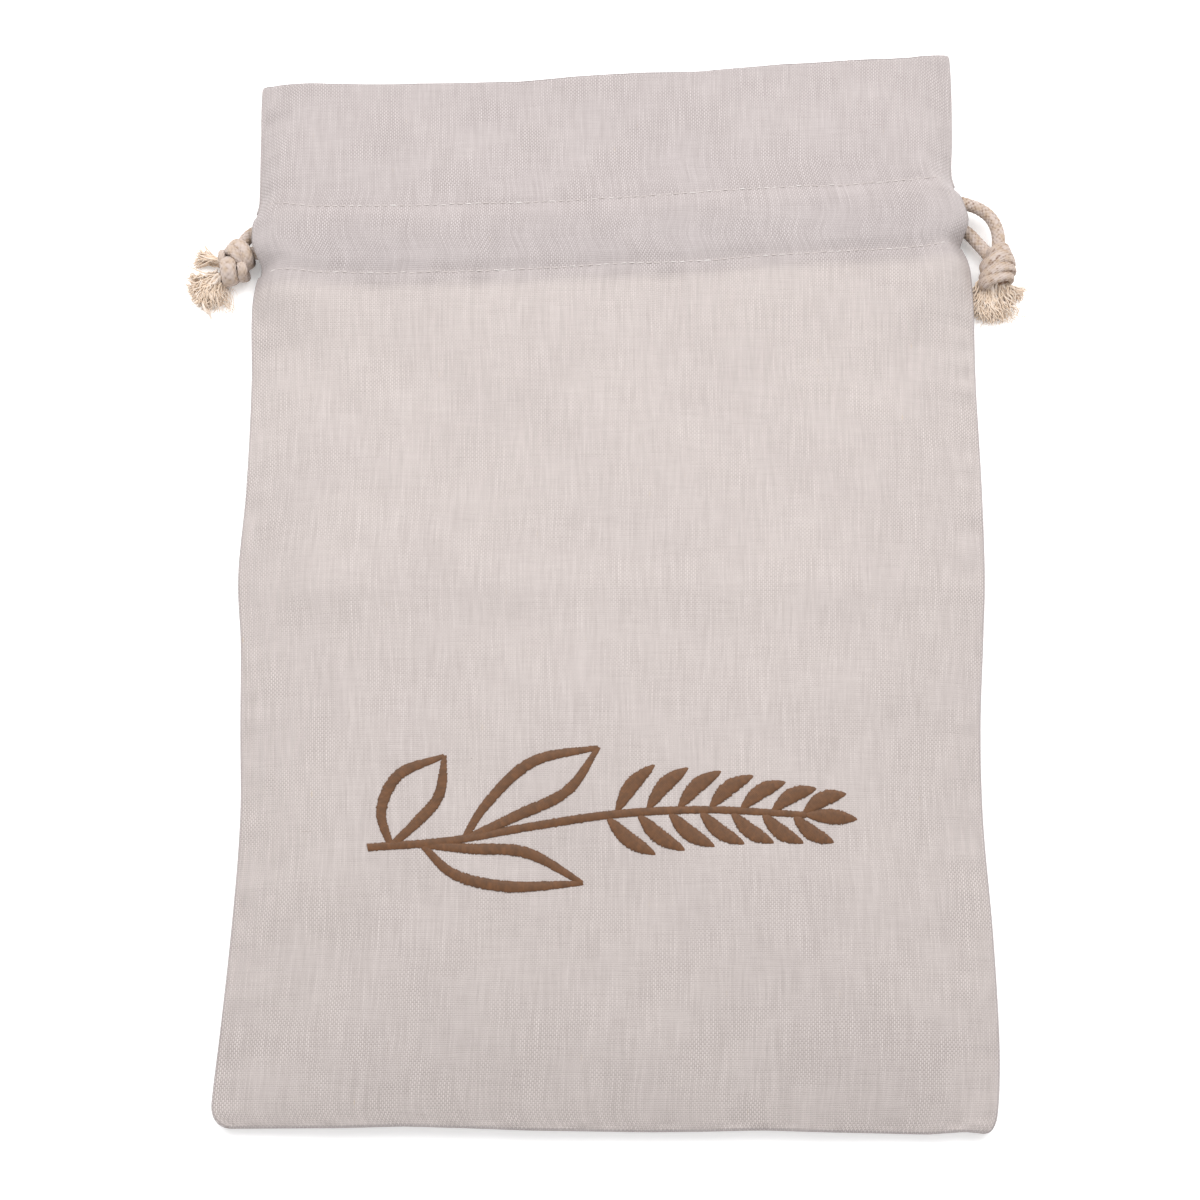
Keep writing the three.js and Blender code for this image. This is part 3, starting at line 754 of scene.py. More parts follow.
def build_weave_group() -> bpy.types.NodeTree:
    """Plain weave: warp threads along V and weft threads across, each passing over and under.

    With U and V counted in threads and S = sin(pi U) sin(pi V), the warp's height is
    |sin(pi U)| (1 + S / 2) and the weft's |sin(pi V)| (1 - S / 2). The higher one shows. Each
    thread has a tone of its own that drifts along it, so thick and thin places show as streaks.
    Contrast says how far warp, weft and gaps stand apart from their mean. The gaps between
    threads are drawn darker towards Shade, as painted shade in the weave's hollows.

    Returns:
        The group's tree.
    """
    graph, given, result = new_group(
        "plain_weave",
        {
            "Vector": "Vector",
            "Threads per metre": "Float",
            "Warp": "Color",
            "Weft": "Color",
            "Shade": "Color",
            "Streaks": "Float",
            "Contrast": "Float",
        },
        {"Color": "Color", "Height": "Float"},
    )
    # In pairs for warp and weft: the sway of the threads, in threads; the steps between threads in
    # the noise of their tones; and that noise's scale along them, per metre, as all scales here.
    sway_scale = 70.0
    sway = (1.6, -1.3)
    thread_step = (7.31, 5.17)
    tone_scale = (55.0, 75.0)
    weft_offset = 3.0
    mean_tone = 0.25
    grey = (0.5, 0.5, 0.5, 1.0)
    math, times, times_plus = graph.math, graph.times, graph.times_plus

    flat = given.outputs["Vector"]
    density = given.outputs["Threads per metre"]
    waver = graph.noise(flat, sway_scale, 1.0)
    place = graph.add("SeparateXYZ", {0: flat}).outputs
    count_u = times_plus(place[0], density, times(waver, sway[0]))
    count_v = times_plus(place[1], density, times(waver, sway[1]))
    wave_u = math("SINE", times(count_u, np.pi))
    wave_v = math("SINE", times(count_v, np.pi))
    lift = times(times(wave_u, wave_v), 0.5)
    warp = times(math("ABSOLUTE", wave_u), math("ADD", 1.0, lift))
    weft = times(math("ABSOLUTE", wave_v), math("SUBTRACT", 1.0, lift))
    height = math("MAXIMUM", warp, weft)
    warp_shows = graph.ramp(math("SUBTRACT", warp, weft), -0.25, 0.25)

    warp_row = times(math("FLOOR", count_u), thread_step[0])
    weft_row = times(math("FLOOR", count_v), thread_step[1])
    warp_place = graph.point(warp_row, times(place[1], tone_scale[0]))
    weft_place = graph.point(times(place[0], tone_scale[1]), weft_row, weft_offset)
    warp_tone = graph.noise(warp_place, 1.0)
    weft_tone = graph.noise(weft_place, 1.0)
    streaks = given.outputs["Streaks"]
    warp_mix = times_plus(math("SUBTRACT", warp_tone, 0.5), streaks, mean_tone)
    weft_mix = times_plus(math("SUBTRACT", weft_tone, 0.5), streaks, mean_tone)
    shows = graph.mix(given.outputs["Contrast"], grey, warp_shows)
    warp_colour = graph.mix(warp_mix, given.outputs["Warp"], given.outputs["Shade"])
    weft_colour = graph.mix(weft_mix, given.outputs["Weft"], given.outputs["Shade"])
    thread = graph.mix(shows, weft_colour, warp_colour)
    # Painted shade: the gaps between threads are darkened towards Shade.
    gap = times(graph.ramp(height, 0.95, 0.35), given.outputs["Contrast"])
    colour = graph.mix(times(gap, 0.5), thread, given.outputs["Shade"])
    slub = times(math("ADD", warp_tone, weft_tone), 0.5)
    graph.tree.links.new(colour, result.inputs["Color"])
    graph.tree.links.new(math("ADD", height, slub), result.inputs["Height"])
    return graph.tree


def build_fleck_group() -> bpy.types.NodeTree:
    """Sparse flecks, one at most in each cell of a stretched Voronoi pattern: up to 1 on a fleck.

    A cell has a fleck only if its random number is over the bar, and the fleck is where the
    distance to the cell's point is under a small radius. Its strength is 0.2 plus 0.8 times the
    cube of a second random number, so most are faint.

    Returns:
        The group's tree.
    """
    graph, given, result = new_group(
        "flecks",
        {
            "Vector": "Vector",
            "Across": "Float",
            "Along": "Float",
            "Bar": "Float",
            "Radius": "Float",
        },
        {"Mask": "Float"},
    )
    place = graph.add("SeparateXYZ", {0: given.outputs["Vector"]}).outputs
    across = graph.times(place[0], given.outputs["Across"])
    upward = graph.times(place[1], given.outputs["Along"])
    cells = graph.add("TexVoronoi", {"Vector": graph.point(across, upward), "Scale": 1.0})
    lots = graph.add("SeparateXYZ", {0: cells.outputs["Color"]}).outputs
    chosen = graph.math("GREATER_THAN", lots[0], given.outputs["Bar"])
    strength = graph.times_plus(graph.math("POWER", lots[1], 3.0), 0.8, 0.2)
    share = graph.math("DIVIDE", cells.outputs["Distance"], given.outputs["Radius"])
    near = graph.ramp(graph.math("SUBTRACT", 1.0, share), 0.0, 0.6)
    mask = graph.times(graph.times(chosen, strength), near)
    graph.tree.links.new(mask, result.inputs["Mask"])
    return graph.tree


def build_fibre_group() -> bpy.types.NodeTree:
    """Spun fibres that run along a yarn: noise stretched along the first axis of the vector.

    The tone is the noise, and the colour goes from Light to Dark as the groove mask and the tone
    ask, the grooves darker in blotches, with a slow drift towards Warm. The groove mask is painted
    shade.

    Returns:
        The group's tree.
    """
    graph, given, result = new_group(
        "spun_fibres",
        {
            "Vector": "Vector",
            "Groove": "Float",
            "Light": "Color",
            "Warm": "Color",
            "Dark": "Color",
        },
        {"Color": "Color", "Height": "Float"},
    )
    # Scales of the noises, per metre.
    fibres_along, fibres_across = 450.0, 5200.0
    drift_scale = 260.0
    blotch_scale = 620.0
    least_groove = 0.35

    flat = given.outputs["Vector"]
    place = graph.add("SeparateXYZ", {0: flat}).outputs
    stretched = graph.point(
        graph.times(place[0], fibres_along), graph.times(place[1], fibres_across)
    )
    tone = graph.noise(stretched, 1.0, 3.0)
    drift = graph.ramp(graph.noise(flat, drift_scale), 0.38, 0.68)
    body = graph.mix(drift, given.outputs["Light"], given.outputs["Warm"])
    # Painted shade: the groove mask, broken into blotches, darkens the colour towards Dark.
    blotch = graph.ramp(graph.noise(flat, blotch_scale), 0.4, 0.65)
    blotch = graph.times_plus(blotch, 1 - least_groove, least_groove)
    groove = graph.times(given.outputs["Groove"], blotch)
    depth = graph.times_plus(graph.math("SUBTRACT", 0.5, tone), 0.5, groove)
    colour = graph.mix(graph.ramp(depth, 0.0, 1.0), body, given.outputs["Dark"])
    graph.tree.links.new(colour, result.inputs["Color"])
    graph.tree.links.new(tone, result.inputs["Height"])
    return graph.tree


# ---------------------------------------------------------------------------- finishes


def linear(red: int, green: int, blue: int) -> Colour:
    """A screen colour as light: ((c / 255 + 0.055) / 1.055)^2.4."""
    parts = [((c / 255 + 0.055) / 1.055) ** 2.4 for c in (red, green, blue)]
    return (parts[0], parts[1], parts[2], 1.0)


def new_material(name: str) -> tuple[bpy.types.Material, NodeGraph, bpy.types.Node]:
    """A material with an empty Principled shader.

    Returns:
        The material, its graph and its shader node.
    """
    material = bpy.data.materials.new(name)
    material.use_nodes = True
    return material, NodeGraph(material.node_tree), material.node_tree.nodes["Principled BSDF"]


def set_inputs(node: bpy.types.Node, values: dict[str, object]) -> None:
    """Sets plain values on a node's own inputs, by their names."""
    for key, value in values.items():
        node.inputs[key].default_value = value


@dataclass(frozen=True)
class Surface:
    """How cloth or thread takes the light, apart from its colour. The bump depth is in metres."""

    roughness: float = 0.9
    sheen: float = 0.1
    specular: float = 0.15
    bump: float = 0.35
    bump_depth: float = 0.00015

    def dress(
        self,
        graph: NodeGraph,
        shader: bpy.types.Node,
        colour: bpy.types.NodeSocket,
        height: bpy.types.NodeSocket,
    ) -> None:
        """Joins a colour and a relief to the shader and sets its plain values.

        Args:
            graph: the material's graph.
            shader: its Principled shader.
            colour: the socket that gives the colour.
            height: the socket that gives the height of the relief, 0 to 1.
        """
        relief = {"Height": height, "Strength": self.bump, "Distance": self.bump_depth}
        graph.tree.links.new(colour, shader.inputs["Base Color"])
        graph.tree.links.new(graph.add("Bump", relief).outputs[0], shader.inputs["Normal"])
        set_inputs(shader, {
            "Roughness": self.roughness,
            "Sheen Weight": self.sheen,
            "Specular IOR Level": self.specular,
        })


class Fleck(NamedTuple):
    """One kind of fleck in the linen.

    across and along: its cells in a metre; bar: the share of them that stays bare; radius: its
    size, as a share of a cell.
    """

    across: float
    along: float
    bar: float
    radius: float
    strength: float
    colour: Colour


LINEN_FLECKS = (
    Fleck(83.0, 83.0, 0.35, 0.022, 0.9, linear(92, 76, 64)),
    Fleck(285.0, 16.7, 0.80, 0.070, 0.55, linear(140, 127, 119)),
    Fleck(16.7, 285.0, 0.80, 0.070, 0.55, linear(140, 125, 116)),
    Fleck(200.0, 33.0, 0.55, 0.060, 0.6, linear(192, 172, 134)),
)


@dataclass(frozen=True)
class LinenFinish:
    """Undyed linen and cotton in plain weave, with slubs, flecks and a greyer painted shade where
    doubled.

    patches and drifts: how many patches of crisper weave, and of darker tone, lie in a metre.
    """

    name: str
    weave: bpy.types.NodeTree
    flecks: bpy.types.NodeTree
    threads_per_metre: float = 1250.0
    warp: Colour = linear(213, 204, 201)
    weft: Colour = linear(176, 167, 163)
    shade: Colour = linear(140, 130, 127)
    drift_cast: Colour = (0.965, 0.963, 0.967, 1.0)
    doubled_shade: Colour = (0.885, 0.885, 0.905, 1.0)
    casing_shade: Colour = (0.975, 0.98, 0.985, 1.0)
    patches: float = 45.0
    drifts: float = 22.0
    streaks: float = 0.8
    surface: Surface = Surface(
        roughness=0.95, sheen=0.1, specular=0.12, bump=0.55, bump_depth=0.00022
    )

    def material(self) -> bpy.types.Material:
        """Weave, then slow drifts of tone, flecks, and painted shade on doubled cloth and casing,
        from the masks.

        Returns:
            The material.
        """
        material, graph, shader = new_material(self.name)
        flat = graph.add("UVMap", uv_map="flat").outputs[0]
        crisp = graph.mask("crisp")
        patchy = graph.ramp(graph.noise(flat, self.patches), 0.25, 0.7)
        inputs = {
            "Vector": flat,
            "Threads per metre": self.threads_per_metre,
            "Warp": self.warp,
            "Weft": self.weft,
            "Shade": self.shade,
            "Streaks": self.streaks,
            "Contrast": graph.times(crisp, patchy),
        }
        weave = graph.add("Group", inputs, node_tree=self.weave)
        colour = weave.outputs["Color"]
        cast = graph.mix(1.0, colour, self.drift_cast, "MULTIPLY")
        drift = graph.ramp(graph.noise(flat, self.drifts, 3.0), 0.3, 0.7)
        colour = graph.mix(drift, cast, colour)
        for fleck in LINEN_FLECKS:
            inputs = {
                "Vector": flat,
                "Across": fleck.across,
                "Along": fleck.along,
                "Bar": fleck.bar,
                "Radius": fleck.radius,
            }
            mask = graph.add("Group", inputs, node_tree=self.flecks).outputs[0]
            colour = graph.mix(graph.times(mask, fleck.strength), colour, fleck.colour)
        # Painted shade: doubled cloth is drawn greyer, standing in for the floor's light that comes
        # through one layer of linen but less through two. Where the channel mask is, the casing's
        # lower part and the cloth just under the lower stitch row are drawn darker, standing in for
        # the shade there.
        for mask, cast in (("doubled", self.doubled_shade), ("channel", self.casing_shade)):
            multiplied = graph.mix(1.0, colour, cast, "MULTIPLY")
            colour = graph.mix(graph.mask(mask), colour, multiplied)
        self.surface.dress(graph, shader, colour, weave.outputs["Height"])
        return material


@dataclass(frozen=True)
class FibreFinish:
    """Spun cotton or sewing thread, from its light crest to its dark groove, painted as shade."""

    name: str
    fibres: bpy.types.NodeTree
    light: Colour
    warm: Colour
    dark: Colour
    surface: Surface

    def material(self) -> bpy.types.Material:
        """Fibres along the piece's own UV map, darkened by its groove mask as painted shade, tinted
        by its lot.

        Returns:
            The material.
        """
        material, graph, shader = new_material(self.name)
        inputs = {
            "Vector": graph.add("UVMap", uv_map="flat").outputs[0],
            "Groove": graph.mask("groove"),
            "Light": self.light,
            "Warm": self.warm,
            "Dark": self.dark,
        }
        fibres = graph.add("Group", inputs, node_tree=self.fibres)
        colour = graph.mix(graph.mask("lot"), fibres.outputs["Color"], self.warm)
        self.surface.dress(graph, shader, colour, fibres.outputs["Height"])
        return material


@dataclass(frozen=True)
class FloorFinish:
    """A plain pale floor, lit a little from below as a light table is."""

    colour: Colour = (0.965, 0.965, 0.965, 1.0)
    paler: Colour = (0.975, 0.975, 0.975, 1.0)
    roughness: float = 0.95
    glow: float = 0.2

    def material(self) -> bpy.types.Material:
        """A matt near-white with a trace of unevenness.

        Returns:
            The material.
        """
        material, graph, shader = new_material("pale_floor")
        place = graph.add("TexCoord").outputs["Object"]
        tone = graph.ramp(graph.noise(place, 3.0), 0.3, 0.7)
        graph.tree.links.new(graph.mix(tone, self.colour, self.paler), shader.inputs["Base Color"])
        set_inputs(shader, {
            "Roughness": self.roughness,
            "Specular IOR Level": 0.0,
            "Emission Color": WHITE,
            "Emission Strength": self.glow,
        })
        return material


# ---------------------------------------------------------------------------- the cloth


@dataclass(frozen=True)
class Panel:
    """One strip of linen: outer layer, fold at the mouth, hem inside, and seam allowance.

    column_crowding: how much closer the columns stand near the sides; body_crowding: the same for
    the body's rows towards the casing; casing_crowding: for the rows of casing and flap towards
    both their ends; casing_rows: rows there for each of the body's in the same length; hem_rows:
    rows of the hem, as first and last distance from the mouth and their number; hem_tuck: distance
    in which the hem draws in from the sides; allowance_rows: rows of the flat part of the seam
    allowance, as distance from the edge. The mask doubled grows over doubled_fade from
    doubled_start below the casing, channel grows over channel_rise from channel_start below it and
    falls over channel_fall towards the flap, and crisp is never under crisp_least and fades inwards
    with the reaches crisp_side and crisp_foot. The linen reads doubled and channel as painted
    shade: greyer where the cloth is doubled, darker over the casing's lower part.
    """

    layer: Layer
    columns: int
    body_step: float
    thickness: float = 0.8
    mouth_setback: float = 0.0
    hem_end: float = 3.0
    body_length: float = 341.0
    casing_length: float = 30.0
    flap_length: float = 60.0
    column_crowding: float = 0.55
    body_crowding: float = 0.16
    casing_crowding: float = 0.11
    casing_rows: float = 1.5
    hem_rows: tuple[tuple[float, float, int], ...] = ((2.0, 60.0, 21), (62.0, 92.0, 14))
    hem_tuck: float = 8.0
    allowance_rows: tuple[float, ...] = (1.6, 3.3, 5.0)
    doubled_start: float = 8.5
    doubled_fade: float = 6.5
    channel_start: float = 2.0
    channel_rise: float = 7.0
    channel_fall: float = 22.0
    crisp_least: float = 0.45
    crisp_side: float = 38.0
    crisp_foot: float = 50.0

    def _heights(self) -> tuple[Callable, Callable]:
        """Height of the outer layer and height of the hem, as functions of u and Y."""
        if self.layer is Layer.FRONT:
            return SHAPE.front_height, SHAPE.front_hem_height
        return SHAPE.back_height, SHAPE.back_hem_height

    def _columns(self) -> Array:
        """u of the columns, closer together near the sides: (1 - k) w + k sin(pi w / 2)."""
        w = np.linspace(-1, 1, self.columns)
        return (1 - self.column_crowding) * w + self.column_crowding * np.sin(np.pi * w / 2)

    def _outer_lines(self, u: Array) -> tuple[Array, int, int]:
        """Y of the outer layer's rows.

        The first lie on the bottom corner, at h - (h - f) cos(a) from the bottom for even steps of
        a, where h is the corner's height and f the fold's radius. Elsewhere the share of the way is
        w + k sin(pi w) on the body and w - k sin(2 pi w) on casing and flap, k being the crowding.

        Args:
            u: the columns.

        Returns:
            Rows by columns of Y, and the numbers of the rows at the lower and upper stitch rows.
        """
        high = BOTTOM_CORNERS[Side.LEFT].height
        turn = np.linspace(0, np.pi / 2, 13)[:, None]
        lines = [BOTTOM.y(u) + high - (high - SHAPE.seam_fold) * np.cos(turn)]
        w = np.linspace(0, 1, int(self.body_length / self.body_step))[1:-1, None]
        share = w + self.body_crowding * np.sin(np.pi * w)
        lines.append((BOTTOM.y(u) + high) * (1 - share) + LOWER_STITCH.y(u) * share)
        starts = []
        for low, top, length in (
            (LOWER_STITCH, UPPER_STITCH, self.casing_length),
            (UPPER_STITCH, MOUTH, self.flap_length),
        ):
            starts.append(sum(len(block) for block in lines))
            rows = max(8, int(length / self.body_step * self.casing_rows))
            w = np.linspace(0, 1, rows + 1)[:-1, None]
            share = w - self.casing_crowding * np.sin(2 * np.pi * w)
            lines.append(low.y(u) * (1 - share) + top.y(u) * share)
        return np.concatenate(lines), starts[0], starts[1]

    def _inner_rows(self, u: Array) -> tuple[Array, Array]:
        """The fold at the mouth, half an ellipse, and the hem that runs back down from it.

        Args:
            u: the columns.

        Returns:
            Rows by columns of points, and of their distance along the strip.
        """
        height, hem_height = self._heights()
        mouth = MOUTH.y(u) - self.mouth_setback
        top = height(u, mouth)
        under = hem_height(u, mouth)
        turn = np.linspace(0, np.pi, 7)[:, None]
        radius = SHAPE.hem_step / 2
        fold_y = mouth - radius + radius * np.sin(turn)
        fold_z = (top + under) / 2 + (top - under) / 2 * np.cos(turn)
        fold = self._points(np.broadcast_to(u, fold_y.shape), fold_y, SHAPE.seam_fold, fold_z)
        fold_v = np.broadcast_to(mouth, fold_y.shape) + radius * turn

        down = np.concatenate([np.linspace(*rows) for rows in self.hem_rows])[:, None]
        down = down / down[-1] * (mouth - LOWER_STITCH.y(u) + self.hem_end)
        inset = SHAPE.hem_inset * smooth(down / self.hem_tuck)
        opened = SHAPE.channel_open(np.broadcast_to(u, down.shape), mouth - down)
        inset = inset + (SHAPE.channel_inset - SHAPE.hem_inset) * smooth(2 * opened)
        hem_u = u * (1 - inset / SHAPE.half_width)
        hem_y = MOUTH.y(hem_u) - self.mouth_setback - down
        hem = self._points(hem_u, hem_y, 0.0, hem_height(hem_u, hem_y))
        return np.concatenate([fold, hem]), np.concatenate([fold_v, mouth + down])

    def _masks(self, u: Array, y: Array, rows: int) -> Array:
        """The masks doubled, channel and crisp; the first two place painted shade on the linen.

        Args:
            u: the outer layer's points, rows by columns.
            y: the same points' Y.
            rows: how many rows the whole strip has; those past the outer layer are doubled and
                crisp, and not in the channel.

        Returns:
            The three masks, each with one number for every point of the strip.
        """
        outer = len(y)
        doubled, channel, crisp = masks = np.ones((3, rows, y.shape[1]))
        above = y - LOWER_STITCH.y(u)
        doubled[:outer] = smooth((above + self.doubled_start) / self.doubled_fade)
        below_flap = smooth((UPPER_STITCH.y(u) - y) / self.channel_fall)
        channel[:outer] = smooth((above + self.channel_start) / self.channel_rise) * below_flap
        channel[outer:] = 0
        near = np.exp(-SHAPE.from_side(u) / self.crisp_side)
        near = near + np.exp(-(y - BOTTOM.y(u)) / self.crisp_foot)
        share = self.crisp_least + (1 - self.crisp_least) * np.maximum(doubled[:outer], near)
        crisp[:outer] = np.clip(share, 0, 1)
        return masks.reshape(3, -1)

    def build(self, name: str) -> bpy.types.Object:
        """The panel's sheet with its thickness.

        Args:
            name: the piece's name.

        Returns:
            The new piece, with the flat UV map and the masks doubled, channel and crisp.
        """
        u = self._columns()
        outer_y, lower, upper = self._outer_lines(u)
        flap_end = len(outer_y)
        outer_u = np.broadcast_to(u, outer_y.shape)
        outer_z = self._heights()[0](outer_u, outer_y)
        outer = self._points(outer_u, outer_y, SHAPE.seam_fold, outer_z)
        inner, inner_v = self._inner_rows(u)
        flat_v = np.concatenate([outer_y, inner_v])
        flat_u = np.broadcast_to(u * SHAPE.half_width, flat_v.shape)
        numbers = np.arange(flat_v.size).reshape(flat_v.shape)
        faces = [grid_faces(numbers)]
        points = [np.concatenate([outer, inner]).reshape(-1, 3)]
        flat = [np.stack([flat_u.ravel(), flat_v.ravel()], axis=1)]
        masks = [self._masks(outer_u, outer_y, len(flat_v))]
        left = numbers[:, 0]
        right = numbers[:, -1]
        for outline in (
            left[upper:flap_end][::-1],
            np.concatenate([left[1 : lower + 1][::-1], numbers[0], right[1 : lower + 1]]),
            right[upper:flap_end],
        ):
            first = sum(len(block) for block in points)
            ring, ring_flat, ring_faces = self._allowance(points[0], flat[0], outline, first)
            points.append(ring)
            flat.append(ring_flat)
            faces.append(ring_faces)
            masks.append(np.tile([[1.0], [0.0], [1.0]], len(ring)))
        doubled, channel, crisp = np.concatenate(masks, axis=1)
        piece = new_piece(
            name,
            np.concatenate(points),
            faces,
            flat=np.concatenate(flat) * MM,
            doubled=doubled,
            channel=channel,
            crisp=crisp,
        )
        thick = piece.modifiers.new("cloth", "SOLIDIFY")
        thick.thickness = self.thickness * MM
        thick.offset = 0
        return piece

    @staticmethod
    def _points(u: Array, y: Array, inset: float, z: Array) -> Array:
        """Points from u, Y and Z, in plan by the bag's outline drawn in by inset."""
        return np.stack([SHAPE.plan_x(u, y, inset), y, z], axis=-1)

    def _allowance(
        self, points: Array, flat: Array, outline: Array, first: int
    ) -> tuple[Array, Array, Array]:
        """The cloth turned in along part of the outline.

        It goes round a half circle, out by r sin(a) and up or down by r (1 - cos(a)), then runs
        flat back under the cloth.

        Args:
            points: the sheet's points.
            flat: the sheet's flat places.
            outline: point numbers along the edge, with the cloth on their left.
            first: the number of the first new point.

        Returns:
            The new points, their flat places, and the faces that join them to the sheet.
        """
        edge = points[outline]
        run = np.gradient(edge[:, :2], axis=0)
        out = unit(np.stack([run[:, 1], -run[:, 0]], axis=1))
        turn = np.linspace(0, np.pi, 6)[1:]
        radius = SHAPE.seam_fold
        back = np.array(self.allowance_rows)
        away = np.concatenate([radius * np.sin(turn), -back])
        rise = np.concatenate([radius * (1 - np.cos(turn)), np.full(len(back), 2 * radius)])
        spent = np.concatenate([radius * turn, radius * np.pi + back])
        rings = np.repeat(edge[None], len(away), axis=0)
        rings[..., :2] += out[None] * away[:, None, None]
        rings[..., 2] += rise[:, None] * self.layer.value
        ring_flat = flat[outline][None] + out[None] * spent[:, None, None]
        new = first + np.arange(len(away) * len(outline)).reshape(len(away), len(outline))
        lines = np.concatenate([outline[None], new])[::-1]
        return rings.reshape(-1, 3), ring_flat.reshape(-1, 2), grid_faces(lines)


@dataclass(frozen=True)
class Cloth:
    """Both panels of the bag."""

    finish: bpy.types.Material
    flat_width: float = 0.316
    flat_length: float = 0.55

    def build(self) -> None:
        """Makes the panels."""
        back = Panel(Layer.BACK, columns=60, body_step=5.5, mouth_setback=1.0).build("back_cloth")
        front = Panel(Layer.FRONT, columns=141, body_step=2.35).build("front_cloth")
        finish_piece(back, "linen", self.finish, "back_panel")
        finish_piece(front, "linen", self.finish, "front_panel")


# ---------------------------------------------------------------------------- sewing


@dataclass(frozen=True)
class StitchRow:
    """A row of machine stitches across the front panel.

    end_gap: the bare length at both ends together; sway and waver: how far the row strays in a
    slow wave, and stitch by stitch; slant: how far a stitch lies askew; low: height of a stitch's
    ends over mid cloth; lift: how much higher its middle is; sink: how deep the row pulls it in;
    end_shade: how much painted shade darkens its ends, where they go into the cloth.
    """

    name: str
    line: CrossLine
    seed: int
    pitch: float = 3.5
    length: float = 2.7
    thread: float = 0.22
    end_gap: float = 7.0
    sway: float = 0.25
    sway_length: float = 31.0
    waver: float = 0.09
    slant: float = 0.12
    low: float = 0.46
    lift: float = 0.2
    sink: float = 0.12
    end_shade: float = 0.35

    def build(self, finish: bpy.types.Material) -> None:
        """Short threads lying in the groove, each rising from its needle hole and going back in.

        A stitch follows the row, its height over the cloth being low + lift * sin(pi s).

        Args:
            finish: the thread's material.
        """
        rng = np.random.default_rng(self.seed)
        count = int((2 * SHAPE.half_width - self.end_gap) / self.pitch)
        centre = (np.arange(count) - (count - 1) / 2) * self.pitch
        s = np.linspace(0, 1, 7)
        rise = np.sin(np.pi * s)
        length = self.length * rng.uniform(0.85, 1.1, count)
        u = (centre[:, None] + (s - 0.5) * length[:, None]) / SHAPE.half_width
        drift = self.sway * np.sin(centre / self.sway_length + self.seed)
        drift = drift + rng.normal(0, self.waver, count)
        slant = rng.normal(0, self.slant, count)[:, None] * (s - 0.5)
        y = self.line.y(u) + drift[:, None] + slant
        x = SHAPE.plan_x(u, y, SHAPE.seam_fold)
        lift = self.low + self.lift * rise
        path = np.stack([x, y, SHAPE.front_height(u, y) + lift - self.sink], axis=-1)
        angle = round_angles(6)
        radius = self.thread * (0.65 + 0.35 * rise)[None, :, None]
        across = np.broadcast_to(radius * 1.25 * np.cos(angle), (count, len(s), len(angle)))
        up = np.broadcast_to(radius * np.sin(angle), across.shape)
        tube = tubes(path, across, up, UP)
        # Painted shade: each stitch is drawn darker towards its ends, where it goes into the cloth.
        shade = np.broadcast_to((1 - rise)[None, :, None] * self.end_shade, across.shape)
        ends = np.full(count, 0.4)
        plain = 1 - rng.uniform(0, 1, count) ** 3
        lot = with_poles(np.broadcast_to(plain[:, None, None], across.shape), plain, plain)
        mesh = ThreadMesh()
        mesh.add(tube, tube.points[:, :2], with_poles(shade, ends, ends), lot)
        mesh.piece(self.name, "white_thread", finish)


@dataclass(frozen=True)
class Sewing:
    """The two stitch rows of the casing."""

    finish: bpy.types.Material

    def build(self) -> None:
        """Makes both rows."""
        StitchRow("stitches_lower", LOWER_STITCH, 21).build(self.finish)
        StitchRow("stitches_upper", UPPER_STITCH, 22).build(self.finish)


# ---------------------------------------------------------------------------- embroidery


class SatinStroke(NamedTuple):
    """A satin-stitched stroke: points in plan, and its width at start, middle and end."""

    points: tuple
    start: float
    middle: float
    end: float


STALK = ((-97.0, -12.0), (-66.0, -9.5), (-34.0, -4.0), (0.0, 1.0), (34.0, 2.5), (72.0, 0.5))

# Two strokes for each leaf, from its root to its tip.
LEAVES = (
    ((-60.0, -9.0), (-52.0, 4.0), (-34.0, 21.0), (-8.0, 27.0)),
    ((-60.0, -9.0), (-40.0, 0.0), (-20.0, 10.0), (-8.0, 27.0)),
    ((-76.0, -11.0), (-64.0, -22.0), (-44.0, -27.0), (-14.0, -25.5)),
    ((-76.0, -11.0), (-58.0, -12.5), (-36.0, -14.0), (-14.0, -25.5)),
    ((-88.0, -11.5), (-92.0, 2.0), (-86.0, 16.0), (-68.0, 24.0)),
    ((-88.0, -11.5), (-78.0, -2.0), (-70.0, 8.0), (-68.0, 24.0)),
)


